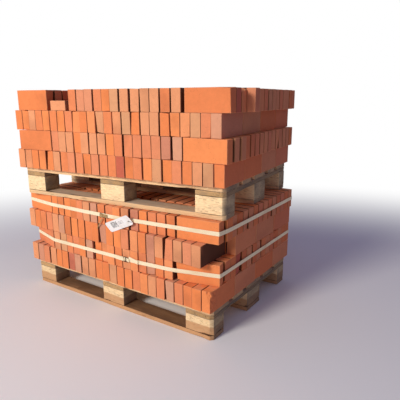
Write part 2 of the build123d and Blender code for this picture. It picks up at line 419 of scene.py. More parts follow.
class Clay(Enum):
    """Burnt colours of the bricks: the written colour, and its share of the load."""

    EMBER = ("BE5C44", 1)
    LILAC = ("D39978", 5)
    CORAL = ("E2895D", 27)
    ORANGE = ("E4834D", 25)
    BRIGHT = ("EE8C50", 11)
    PEACH = ("E69A6B", 15)
    TAN = ("DF9669", 13)
    PALE = ("D69A6E", 3)

    @property
    def place(self) -> float:
        """Where the colour stands on the clay ramp."""
        return list(Clay).index(self) / (len(Clay) - 1)

    @property
    def share(self) -> int:
        """How common the colour is."""
        return self.value[1]


@dataclass(frozen=True)
class ClayFinish:
    """Burnt clay: one tint a brick, blotched by the fire, worn pale at the arrises, gritty and pitted, with
    painted shade on the right-hand faces and inside open joints.
    """

    blotch: float = 0.055
    mottle: float = 0.009
    grit: float = 0.0016
    speck: float = 0.006
    arris_wear: float = 0.0042
    pit_depth: float = 0.0007
    pit_spacing: float = 0.011
    # Painted shade in open joints: the depths from the joint's mouth where it starts and where it is full.
    joint_shade_mouth: tuple[float, float] = (-0.004, 0.008)
    fire_strength: float = 0.22
    fire_level: float = 1.01
    flash_strength: float = 0.2
    mottle_strength: float = 0.24
    speck_strength: float = 0.75
    wear_strength: float = 0.26
    dust_strength: float = 0.5
    shade_side_strength: float = 0.45
    joint_shade_strength: float = 0.82
    scorch: Colour = tint("6E3226")
    worn: Colour = tint("F0B184")
    dust: Colour = tint("E3A27C")
    # Dark red of the painted shade on the right-hand faces.
    shade_side: Colour = tint("9C4A42")

    def paint(self) -> bpy.types.Material:
        """Mix the material."""
        mix = Recipe("burnt_clay")
        place = mix.attribute("brick_place", "Vector")
        kiln = mix.attribute("kiln")
        offset = mix.node("ShaderNodeCombineXYZ", sockets={0: kiln * 3.1, 1: kiln * 7.7, 2: kiln * 5.3})
        at = place.moved(offset)
        stops = [(clay.place, tint(clay.value[0])) for clay in Clay]
        colour = mix.node("ShaderNodeValToRGB", {"stops": stops}, {0: mix.attribute("clay")})
        fire = mix.cloud(at, self.blotch, 2.0)
        colour = mix.varied(colour, fire, self.fire_strength, self.fire_level)
        flash = mix.cloud(at.stretched((0.5, 1.0, 1.0)), self.blotch * 1.6, 1.0).ease(0.56, 0.72)
        colour = mix.mixed(flash * self.flash_strength, colour, self.scorch)
        mottle = mix.cloud(at, self.mottle, 4.0, 0.65)
        colour = mix.varied(colour, mottle, self.mottle_strength)
        speckled = mix.cloud(at, 0.03, 1.0).ease(0.47, 0.6)
        specks = mix.cells(at, self.speck).ease(0.17, 0.09) * speckled
        colour = mix.mixed(specks * self.speck_strength, colour, self.scorch)
        edge = self._edge(place)
        wear = (edge + (mottle - 0.5) * 0.006).ease(self.arris_wear, 0.0006)
        colour = mix.mixed(wear * self.wear_strength, colour, self.worn)
        settled = mix.facing(2).ease(0.6, 0.95) * mix.cloud(at, 0.03, 3.0).ease(0.42, 0.62)
        colour = mix.mixed(settled * self.dust_strength, colour, self.dust)
        # Painted shade: right-hand faces mixed towards a dark red.
        colour = mix.mixed(mix.facing(0).ease(0.6, 0.95) * self.shade_side_strength, colour, self.shade_side)
        # Painted shade on flanks inside open joints.
        colour = mix.scaled(colour, 1.0 - self._joint_shade(mix, place) * self.joint_shade_strength)
        grit = mix.cloud(at, self.grit, 3.0, 0.7)
        drag = mix.cloud(at.stretched((1.0, 1.0, 0.12)), 0.0022, 2.0)
        pits = mix.cells(at, self.pit_spacing).ease(0.2, 0.02) * mix.cloud(at, 0.02, 1.0).ease(0.45, 0.62)
        height = grit * 0.0005 + drag * 0.00025 + mottle * 0.0009 - pits * self.pit_depth
        return mix.done(colour, 0.86 + grit * 0.12, height, Specular_IOR_Level=0.25)

    def _joint_shade(self, mix: Recipe, place: Shade) -> Shade:
        """How far a brick's flank lies inside an open joint, for painted shade that darkens it deeper in."""
        end, clear_ahead, clear_behind = mix.attribute("bare", "Vector").axes()
        x, y, _ = place.axes()
        half = BrickShape.thickness / 2
        ahead = y.ease(-MM, MM)
        clear = clear_ahead * ahead + clear_behind * (1.0 - ahead)
        depth = (BrickShape.length / 2 - x * end - clear).ease(*self.joint_shade_mouth)
        return depth * abs(y).ease(half - 0.003, half - 0.001)

    @staticmethod
    def _edge(place: Shade) -> Shade:
        """Distance from the nearest arris: the middle one of the three distances from the faces' planes."""
        half = (BrickShape.length / 2, BrickShape.thickness / 2, BrickShape.height / 2)
        a, b, c = (size - abs(axis) for size, axis in zip(half, place.axes()))
        return a.least(b).most(a.most(b).least(c))


@dataclass(frozen=True)
class TimberFinish:
    """Sawn softwood left out of doors: growth rings, knots, drying cracks and grey weathering, with a painted
    shadow on its foot and painted shade on its right-hand faces and low tops.
    """

    name: str = "weathered_softwood"
    ring: float = 0.0052
    log_width: float = 0.31
    pith_spread: float = 0.16
    pith_depth: float = 0.05
    knot_size: float = 0.085
    weathering: float = 0.45
    early: Colour = tint("F9D3A0")
    late: Colour = tint("D4A169")
    grey: Colour = tint("B8A38A")
    knot: Colour = tint("6B4930")
    crack: Colour = tint("3A2A1E")
    # Painted shadow near the ground: its colour, the height of its upper edge and that edge's softness.
    foot_shadow: Colour = tint("C08759")
    foot_shadow_height: float = 0.064
    foot_shadow_edge: float = 0.003
    # Grey-brown of the painted shade on right-hand faces.
    shade_side: Colour = tint("5F554E")
    bleached: Colour = tint("B7A794")
    # Dark soil on the low tops, which also carries painted shade.
    soil_and_shade: Colour = tint("553A29")

    def paint(self) -> bpy.types.Material:
        """Mix the material."""
        mix = Recipe(self.name)
        at = mix.attribute("timber", "Vector")
        plank = mix.attribute("plank")
        knots = self._knots(mix, at)
        sway = mix.cloud(at.stretched((1.2, 6.0, 6.0)), 0.06, 2.0)
        _, across, deep = at.axes()
        pith = (plank * 7.0) % 1.0 * self.pith_spread - self.pith_spread / 2
        from_pith = across % self.log_width - self.log_width / 2 - pith
        rings = (from_pith ** 2.0 + (deep % self.log_width + self.pith_depth) ** 2.0) ** 0.5
        rings = (rings + sway * 0.016 + knots * 0.009) / self.ring
        line = (rings % 1.0).ease(0.45, 0.95)
        colour = mix.mixed(line * 0.75, self.early, self.late)
        fibre = mix.cloud(at.stretched((0.05, 1.0, 1.0)), 0.0016, 3.0, 0.7)
        colour = mix.varied(mix.varied(colour, fibre, 0.3), plank, 0.22)
        weather = mix.cloud(at.stretched((0.35, 1.0, 1.0)), 0.05, 4.0, 0.6)
        colour = mix.mixed(weather.ease(0.46, 0.72) * self.weathering, colour, self.grey)
        colour = mix.mixed(knots * 0.85, colour, self.knot)
        crack = mix.cloud(at.stretched((0.035, 1.0, 1.0)), 0.006, 2.0, 0.5)
        crack = (abs(crack - 0.5)).ease(0.012, 0.002) * mix.cloud(at, 0.07, 1.0).ease(0.5, 0.62)
        colour = mix.mixed(crack * 0.8, colour, self.crack)
        # Painted shadow near the ground, then painted shade on the right-hand faces.
        colour = self._painted_shade_side(mix, self._shadowed_foot(mix, colour, weather), weather)
        height = line * -0.0002 + fibre * 0.0005 - crack * 0.0012 - knots * 0.0004
        return mix.done(colour, 0.8 + fibre * 0.15, height, Specular_IOR_Level=0.2)

    def _knots(self, mix: Recipe, at: Shade) -> Shade:
        """Round knots, a little long in the grain, in some of the cells only."""
        drawn = at.stretched((0.55, 1.0, 0.6))
        ball = mix.cells(drawn, self.knot_size)
        chosen = mix.cells(drawn, self.knot_size, "Color").axes()[0].ease(0.6, 0.62)
        return ball.ease(0.17, 0.1) * chosen

    def _shadowed_foot(self, mix: Recipe, colour: Shade, uneven: Shade) -> Shade:
        """A painted shadow that browns the wood near the ground, soil with painted shade on its tops, and the
        grey weathered tops of boards higher up.
        """
        up = mix.node("ShaderNodeTexCoord", outlet="Object").axes()[2]
        line = (self.foot_shadow_height + self.foot_shadow_edge, self.foot_shadow_height - self.foot_shadow_edge)
        # Painted shadow below a wavering line near the ground.
        foot_shadow = (up + (uneven - 0.5) * 0.012).ease(*line)
        level = mix.facing(2).ease(0.6, 0.9)
        # Low tops get soil with painted shade; higher tops get grey weathering.
        top = mix.mixed(foot_shadow, self.bleached, self.soil_and_shade)
        colour = mix.mixed(foot_shadow * 0.72, colour, self.foot_shadow)
        return mix.mixed(level * (uneven.ease(0.2, 0.6) * 0.3 + 0.55), colour, top)

    def _painted_shade_side(self, mix: Recipe, colour: Shade, uneven: Shade) -> Shade:
        """Painted shade: the right-hand faces made grey and dark, unevenly."""
        weathered = mix.facing(0).ease(0.55, 0.9) * (uneven.ease(0.2, 0.7) * 0.3 + 0.5)
        return mix.mixed(weathered, colour, self.shade_side)


@dataclass(frozen=True)
class StringerFinish(TimberFinish):
    """The same softwood in a browner tone, made darker with painted shade where the stringer boards sit back
    between deck and blocks.
    """

    name: str = "damp_stringer_softwood"
    early: Colour = tint("C9A473")
    late: Colour = tint("9C7748")
    grey: Colour = tint("8E7C66")
    weathering: float = 0.6


@dataclass(frozen=True)
class ChipFinish(TimberFinish):
    """Pressed wood chips: flat flakes in layers, pale with darker bark, under the same weather."""

    name: str = "pressed_chips"
    flake: float = 0.0135
    pale: Colour = tint("FCDEAC")
    brown: Colour = tint("D09F69")
    bark: Colour = tint("866144")

    def paint(self) -> bpy.types.Material:
        """Mix the material."""
        mix = Recipe(self.name)
        at = mix.attribute("timber", "Vector")
        plank = mix.attribute("plank")
        bent = at.moved(mix.cloud(at, 0.03, 1.0) * 0.012)
        flat = bent.stretched((1.0, 1.0, 3.4))
        flake = mix.cells(flat, self.flake, "Color").axes()
        edge = mix.cells(flat, self.flake)
        colour = mix.mixed(flake[0].ease(0.2, 1.0) * 0.34, self.pale, self.brown)
        colour = mix.mixed(flake[1].ease(0.9, 0.94) * 0.34, colour, self.bark)
        fibre = mix.cloud(at.stretched((0.12, 0.12, 1.0)), 0.0016, 3.0, 0.7)
        colour = mix.varied(mix.varied(colour, fibre, 0.26), plank, 0.16)
        weather = mix.cloud(at.stretched((1.0, 1.0, 1.6)), 0.045, 4.0, 0.6)
        colour = mix.mixed(weather.ease(0.5, 0.75) * 0.3, colour, self.grey)
        # Painted shadow near the ground, then painted shade on the right-hand faces.
        colour = self._painted_shade_side(mix, self._shadowed_foot(mix, colour, weather), weather)
        height = flake[2] * 0.0006 + fibre * 0.0006 - edge.ease(0.5, 0.8) * 0.0006
        return mix.done(colour, 0.84 + fibre * 0.12, height, Specular_IOR_Level=0.2)


@dataclass(frozen=True)
class WebbingFinish:
    """Corded strapping: cream cords side by side, a little soiled."""

    name: str = "corded_strapping"
    twist: float = 0.0032
    cream: Colour = tint("FFEFC9")
    groove: Colour = tint("C9AE80")
    soil_and_shade: Colour = tint("DCC193")

    def paint(self) -> bpy.types.Material:
        """Mix the material."""
        mix = Recipe(self.name)
        across = mix.attribute("across")
        run = mix.attribute("run")
        at = mix.node("ShaderNodeCombineXYZ", sockets={0: run, 1: across * STRAP_WIDTH, 2: 0.0})
        cord = abs((across * STRAP_CORDS) % 1.0 - 0.5) * 2.0
        strand = mix.cloud(at.stretched((1.0, 6.0, 1.0)), 0.004, 2.0)
        colour = mix.mixed(cord.ease(0.6, 1.0) * 0.55, self.cream, self.groove)
        soiled = mix.cloud(at.stretched((0.3, 1.0, 1.0)), 0.03, 3.0).ease(0.45, 0.75)
        colour = mix.varied(mix.mixed(soiled * 0.6, colour, self.soil_and_shade), strand, 0.16)
        turned = (run + across * 0.004) % self.twist
        height = cord.ease(1.0, 0.2) * 0.00025 + abs(turned - self.twist / 2) * 0.06
        return mix.done(colour, 0.55 + strand * 0.2, height, Specular_IOR_Level=0.4)


@dataclass(frozen=True)
class HandledShadedWebbingFinish(WebbingFinish):
    """The same strapping at the knot: browner and dirtier from handling, and darker with painted shade on its
    turned folds.
    """

    name: str = "handled_strapping"
    cream: Colour = tint("BC9A68")
    groove: Colour = tint("6E4D2A")
    soil_and_shade: Colour = tint("86603A")


@dataclass(frozen=True)
class WireFinish:
    """Galvanized wire gone dull and dark."""

    zinc: Colour = tint("262423")
    rust: Colour = tint("2E1B13")

    def paint(self) -> bpy.types.Material:
        """Mix the material."""
        mix = Recipe("dull_wire")
        at = mix.node("ShaderNodeTexCoord", outlet="Object")
        bloom = mix.cloud(at, 0.004, 4.0)
        rust = mix.cloud(at, 0.009, 3.0).ease(0.5, 0.7)
        colour = mix.varied(mix.mixed(rust * 0.8, self.zinc, self.rust), bloom, 0.5)
        return mix.done(colour, 0.42 + rust * 0.4, bloom * 0.0003, Metallic=0.4)


@dataclass(frozen=True)
class CardFinish:
    """A white shipping card: a plain ruled form in grey, weather-creased."""

    white: Colour = tint("F8F7F3")
    print_grey: Colour = tint("55585A")
    stain: Colour = tint("D9D2BE")
    ink_strength: float = 0.86
    bar_pitch: float = 0.0058
    row_pitch: float = 0.0095
    rule_pitch: float = 0.0060

    def paint(self) -> bpy.types.Material:
        """Mix the material."""
        mix = Recipe("tag_card")
        place = mix.attribute("card_place", "Vector")
        u, v, _ = place.axes()
        worn = mix.cloud(place, 0.006, 3.0).ease(0.3, 0.55)
        panel = self._patch(u, v, (-0.047, -0.004), (-0.012, 0.020))
        bars = (u % self.bar_pitch).ease(0.0022, 0.0028)
        rows = (v % self.row_pitch).ease(0.0030, 0.0040)
        form = self._patch(u, v, (0.002, 0.034), (-0.005, 0.013))
        rules = (v % self.rule_pitch).ease(0.0036, 0.0042)
        head = self._patch(u, v, (-0.069, -0.064), (-0.003, 0.004))
        ink = (panel * bars.most(rows * 0.6) + form * rules + head * 0.6) * worn
        stained = mix.cloud(place, 0.02, 3.0).ease(0.5, 0.75)
        colour = mix.mixed(stained * 0.5, self.white, self.stain)
        colour = mix.mixed(ink * self.ink_strength, colour, self.print_grey)
        fibre = mix.cloud(place, 0.001, 2.0)
        crease = mix.cloud(place.stretched((1.0, 0.25, 1.0)), 0.02, 1.0)
        return mix.done(colour, 0.5 + fibre * 0.15, fibre * 0.00005 + crease * 0.002, Specular_IOR_Level=0.4)

    @staticmethod
    def _patch(u: Shade, v: Shade, wide: tuple[float, float], high: tuple[float, float]) -> Shade:
        """One inside a rectangle of the card and nothing outside it."""
        soft = 0.0006
        along, upward = (
            axis.ease(low - soft, low + soft) * axis.ease(top + soft, top - soft)
            for axis, (low, top) in ((u, wide), (v, high))
        )
        return along * upward


@dataclass(frozen=True)
class FloorFinish:
    """A plain pale studio floor that runs out into white far from the object."""

    pale: Colour = tint("F4F2EF")
    fade_shift: Spot = (-1.45, 1.8, 0.0)
    fade_start: float = 3.1
    fade_end: float = 5.4

    def paint(self) -> bpy.types.Material:
        """Mix the material."""
        mix = Recipe("studio_floor")
        at = mix.node("ShaderNodeTexCoord", outlet="Object")
        x, y, _ = at.moved(self.fade_shift).axes()
        radius = (x * x + y * y) ** 0.5
        colour = mix.varied(self.pale, mix.cloud(at, 0.4, 3.0), 0.03)
        matt = mix.node("ShaderNodeBsdfDiffuse", sockets={"Color": colour})
        white = mix.node("ShaderNodeEmission", sockets={"Color": WHITE, "Strength": 1.0})
        fade = radius.ease(self.fade_start, self.fade_end) * mix.seen()
        shader = mix.node("ShaderNodeMixShader", sockets={0: fade, 1: matt, 2: white})
        mix.node("ShaderNodeOutputMaterial", sockets={"Surface": shader})
        return mix.material


# Shared shape work


@dataclass(frozen=True)
class Place:
    """Where one pallet and its load stand: the middle of the pallet's foot, and its turn."""

    foot: Vector
    turn: float

    def local(self, point: Vector) -> Vector:
        """A point of the scene as the pallet sees it."""
        return Matrix.Rotation(-self.turn, 3, "Z") @ (point - self.foot)

    def matrix(self) -> Matrix:
        """The move from the pallet's own axes to the scene."""
        return Matrix.Translation(self.foot) @ Matrix.Rotation(self.turn, 4, "Z")


def solid_copy(node: bpy.types.Object) -> bmesh.types.BMesh:
    """A node's mesh with its loose triangles merged into plain faces."""
    form = bmesh.new()
    form.from_mesh(node.data)
    bmesh.ops.remove_doubles(form, verts=form.verts, dist=WELD)
    bmesh.ops.dissolve_limit(form, angle_limit=math.radians(0.5), verts=form.verts, edges=form.edges)
    return form


def islands(form: bmesh.types.BMesh) -> list[list[bmesh.types.BMVert]]:
    """The separate solids of a mesh, as lists of corners."""
    waiting = set(form.verts)
    found = []
    for first in form.verts:
        if first not in waiting:
            continue
        waiting.remove(first)
        group, heads = [first], [first]
        while heads:
            corner = heads.pop()
            for edge in corner.link_edges:
                other = edge.other_vert(corner)
                if other in waiting:
                    waiting.remove(other)
                    group.append(other)
                    heads.append(other)
        found.append(group)
    return found


def place_of(nodes: dict[str, bpy.types.Object], prefix: str) -> Place:
    """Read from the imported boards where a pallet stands.

    Args:
        nodes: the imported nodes.
        prefix: which pallet.

    Returns:
        The pallet's place.
    """
    low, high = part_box(f"{prefix}_stringer_board_middle")
    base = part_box(f"{prefix}_bottom_board_middle")[0][2]
    form = solid_copy(nodes[f"{prefix}_deck_board_1"])
    longest = max(form.edges, key=lambda edge: edge.calc_length())
    run = longest.verts[1].co - longest.verts[0].co
    form.free()
    run = run if run.x > 0 else -run
    foot = Vector(((low[0] + high[0]) / 2, (low[1] + high[1]) / 2, base))
    return Place(foot, math.atan2(run.y, run.x))


def link(name: str, mesh: bpy.types.Mesh, replaced: Sequence[str]) -> bpy.types.Object:
    """Put a finished mesh in the scene as a piece of the object.

    Args:
        name: name of the piece.
        mesh: its finished mesh.
        replaced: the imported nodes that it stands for.

    Returns:
        The piece.
    """
    piece = bpy.data.objects.new(name, mesh)
    mesh.name = name
    bpy.context.scene.collection.objects.link(piece)
    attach(piece, BODY)
    if replaced:
        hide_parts(*replaced)
    log.info("%s: %d faces, for %s", name, len(mesh.polygons), ", ".join(replaced) or "itself")
    return piece


def to_mesh(form: bmesh.types.BMesh, name: str) -> bpy.types.Mesh:
    """Turn a working mesh into a plain one and free it."""
    bmesh.ops.recalc_face_normals(form, faces=form.faces)
    mesh = bpy.data.meshes.new(name)
    form.to_mesh(mesh)
    form.free()
    return mesh


def plain_mesh(
    name: str,
    spots: Iterable[Sequence[float]],
    edges: Sequence[tuple[int, int]] = (),
    faces: Sequence[tuple[int, ...]] = (),
) -> bpy.types.Mesh:
    """Make a mesh from its corners, and from the edges or faces between them."""
    mesh = bpy.data.meshes.new(name)
    mesh.from_pydata([tuple(spot) for spot in spots], list(edges), list(faces))
    return mesh


def open_edges(count: int, first: int = 0) -> list[tuple[int, int]]:
    """The edges of an open line through numbered corners."""
    return [(n, n + 1) for n in range(first, first + count - 1)]


def closed_edges(count: int) -> list[tuple[int, int]]:
    """The edges of a closed line through numbered corners."""
    return [(n, (n + 1) % count) for n in range(count)]


def round_wire(path: bpy.types.Mesh, radius: float, sides: int, metal: bpy.types.Material) -> bpy.types.Mesh:
    """Draw round wire along every line of a path.

    Args:
        path: the path, as a mesh of edges.
        radius: half the wire's thickness.
        sides: number of flats round the wire.
        metal: the wire's material.

    Returns:
        The mesh of the wire.
    """
    tree = Shaper(f"wire_on_{path.name}", {"Wire Radius": radius, "Sides": sides, "Material": metal})
    line = tree.node("GeometryNodeMeshToCurve", sockets={0: tree.named("Geometry")})
    section = {"Resolution": tree.named("Sides"), "Radius": tree.named("Wire Radius")}
    ring = tree.node("GeometryNodeCurvePrimitiveCircle", {"mode": "RADIUS"}, section)
    drawn = {"Curve": line, "Profile Curve": ring, "Fill Caps": True}
    tree.finish(tree.node("GeometryNodeCurveToMesh", sockets=drawn))
    return tree.run(path)


def store(mesh: bpy.types.Mesh, name: str, values: Iterable[Any], kind: str = "FLOAT") -> None:
    """Store a value on each corner of a mesh.

    Args:
        mesh: the mesh.
        name: name of the value.
        values: one value or vector for each corner.
        kind: Blender's name for the kind of value.
    """
    layer = mesh.attributes.get(name) or mesh.attributes.new(name, kind, "POINT")
    whole = np.asarray(list(values), dtype=np.int32 if kind == "INT" else np.float32).ravel()
    layer.data.foreach_set("vector" if kind == "FLOAT_VECTOR" else "value", whole)


def slice_along(form: bmesh.types.BMesh, axis: int, places: Iterable[float]) -> None:
    """Cut a mesh's faces across an axis at each place, keeping both sides."""
    normal = Vector((0.0, 0.0, 0.0))
    normal[axis] = 1.0
    for place in places:
        whole = [*form.verts, *form.edges, *form.faces]
        bmesh.ops.bisect_plane(form, geom=whole, dist=WELD, plane_co=normal * place, plane_no=normal)


def round_arrises(form: bmesh.types.BMesh, width: float, segments: int = 1) -> None:
    """Bevel every sharp edge of a closed mesh."""
    sharp = [edge for edge in form.edges if edge.calc_face_angle(0.0) > math.radians(25)]
    bmesh.ops.bevel(
        form,
        geom=sharp,
        offset=width,
        segments=segments,
        profile=0.5,
        affect="EDGES",
        clamp_overlap=True,
    )


def press(form: bmesh.types.BMesh, point: Vector, outward: Vector, rough: float, grain: float) -> None:
    """Break away what stands beyond a plane, leaving a rough face.

    Args:
        form: the mesh to break.
        point: a point of the plane.
        outward: which side is broken away.
        rough: how far the break is off flat.
        grain: how wide its lumps are.
    """
    outward = outward.normalized()
    for vertex in form.verts:
        beyond = (vertex.co - point).dot(outward) + rough * noise.noise(vertex.co / grain)
        if beyond > 0:
            vertex.co -= outward * beyond


# Bricks


class Kind(Enum):
    """How a brick came off the stack: worn like most, or broken in one of the ways that show."""

    WORN = 0
    BROKEN_CORNER = 1
    ROUNDED_END = 2
    CHIPPED_FOOT = 3


@dataclass(frozen=True)
class Break:
    """A rough face where a piece has come off a brick."""

    corner: Spot
    inset: Spot
    outward: Spot
    rough: float
    grain: float

    def made_on(self, form: bmesh.types.BMesh, half: Vector) -> None:
        """Break the piece off.

        Args:
            form: the brick.
            half: half the brick's sizes.
        """
        point = Vector(self.corner[n] * (half[n] - self.inset[n]) for n in range(3))
        press(form, point, Vector(self.outward), self.rough, self.grain)


BREAKS = {
    Kind.BROKEN_CORNER: (
        Break((1, 1, 0), (0.038, 0.0, 0.0), (6.0, 38.0, 0.0), 0.004, 0.012),
        Break((1, 1, 0), (0.008, 0.0, 0.0), (15.0, 9.0, 2.0), 0.006, 0.010),
        Break((1, 1, 1), (0.0, 0.017, 0.0), (12.0, 22.0, 12.0), 0.004, 0.009),
    ),
    Kind.ROUNDED_END: (
        Break((1, -1, 1), (0.017, 0.0, 0.0), (1.0, -0.5, 0.9), 0.004, 0.011),
        Break((1, 0, 1), (0.024, 0.0, 0.0), (0.55, -0.2, 1.0), 0.004, 0.013),
    ),
    Kind.CHIPPED_FOOT: (Break((1, -1, -1), (0.0, 0.0, 0.022), (1.0, -0.7, -0.6), 0.004, 0.009),),
}


@dataclass
class BrickShape:
    """The brick itself: a long block with worn arrises, in a few forms that are laid again and again."""

    length: float = 0.210
    thickness: float = 0.048
    height: float = 0.100
    arris: float = 0.0016
    wander: float = 0.0007
    wave: float = 28.0
    ripple: float = 90.0
    worn_forms: int = 10
    worn_cuts: tuple[int, int, int] = (3, 0, 0)
    broken_cuts: tuple[int, int, int] = (23, 7, 13)
    chip: float = 0.0045
    forms: bpy.types.Collection = field(init=False)

    @property
    def sizes(self) -> Spot:
        """The length, the thickness and the height."""
        return self.length, self.thickness, self.height

    def build(self) -> None:
        """Make every form of the brick, worn ones first, in one collection."""
        self.forms = bpy.data.collections.new("brick_forms")
        for number in range(self.worn_forms):
            self._keep(self._worn(number), f"form_{number:02d}")
        for kind in list(Kind)[1:]:
            self._keep(self._broken(kind), f"form_{self.index(kind):02d}")

    def index(self, kind: Kind, draw: int = 0) -> int:
        """The number of a form in the collection."""
        return draw % self.worn_forms if kind is Kind.WORN else self.worn_forms + kind.value - 1

    def _block(self, cuts: tuple[int, int, int]) -> bmesh.types.BMesh:
        """A plain brick with rounded arrises, its faces cut across each axis."""
        form = bmesh.new()
        bmesh.ops.create_cube(form, size=1.0)
        bmesh.ops.scale(form, vec=self.sizes, verts=form.verts)
        round_arrises(form, self.arris)
        for axis, (count, size) in enumerate(zip(cuts, self.sizes)):
            slice_along(form, axis, [size * ((n + 1) / (count + 1) - 0.5) for n in range(count)])
        return form

    def _ragged(self, form: bmesh.types.BMesh, seed: float) -> None:
        """Push each corner in a little, so that no arris is quite straight."""
        drift = Vector((seed * 1.7, seed * 0.9, seed * 2.3))
        for vertex in form.verts:
            vertex.normal_update()
            wave = noise.noise(vertex.co * self.wave + drift)
            ripple = noise.noise(vertex.co * self.ripple + drift)
            vertex.co -= vertex.normal * max(self.wander * (0.5 + wave + 0.5 * ripple), 0.0)

    def _worn(self, number: int) -> bmesh.types.BMesh:
        """One of the common forms, of a few dozen faces, with one chipped corner."""
        form = self._block(self.worn_cuts)
        self._ragged(form, 3.1 + number * 5.3)
        half = Vector(self.sizes) / 2
        signs = Vector(((-1) ** number, (-1) ** (number // 2), (-1) ** (number // 4)))
        corner = Vector(half[n] * signs[n] for n in range(3))
        lean = Vector((signs.x * (1.0 + 0.3 * (number % 3)), signs.y, signs.z * (0.6 + 0.4 * (number % 2))))
        press(form, corner - signs * self.chip * (0.5 + 0.25 * (number % 4)), lean, 0.0015, 0.01)
        return form

    def _broken(self, kind: Kind) -> bmesh.types.BMesh:
        """A form with a break of its own, laid once or twice, so with more faces."""
        form = self._block(self.broken_cuts)
        for lost in BREAKS[kind]:
            lost.made_on(form, Vector(self.sizes) / 2)
        self._ragged(form, 40.0 + kind.value)
        return form

    def _keep(self, form: bmesh.types.BMesh, name: str) -> None:
        """Store a form in the collection, with its own axes on every corner."""
        mesh = to_mesh(form, name)
        store(mesh, "brick_place", [corner.co[:] for corner in mesh.vertices], "FLOAT_VECTOR")
        self.forms.objects.link(bpy.data.objects.new(name, mesh))

    def clear(self) -> None:
        """Take the loose forms away once every brick is laid."""
        for made in list(self.forms.objects):
            bpy.data.objects.remove(made)
        bpy.data.collections.remove(self.forms)


class Run(Enum):
    """Which way a brick lies in its course."""

    HEADER = "end to the front"
    LEFT_TURNED = "along the left end"
    RIGHT_TURNED = "along the right end"
    LYING = "flat on its side"


TURNED = (Run.LEFT_TURNED, Run.RIGHT_TURNED)


@dataclass
class Laid:
    """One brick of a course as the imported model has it, with the place it takes in the course."""

    centre: Vector
    yaw: float
    along: float
    across: float
    up: float
    run: Run = Run.HEADER
    row: int = 0
    lies_at: float = 0.0
    number: int = 0
    outward: Vector = field(default_factory=Vector)
    onward: Vector = field(default_factory=Vector)
    clear: tuple[float, float] = (0.0, 0.0)

    @property
    def lying(self) -> bool:
        """Whether the brick lies on its side."""
        return self.across > self.up


@dataclass(frozen=True)
class Notes:
    """The few outer bricks of a course that stand out, by run and by number from the left or the front."""

    clays: dict[tuple[Run, int], Clay] = field(default_factory=dict)
    broken: dict[tuple[Run, int], Kind] = field(default_factory=dict)


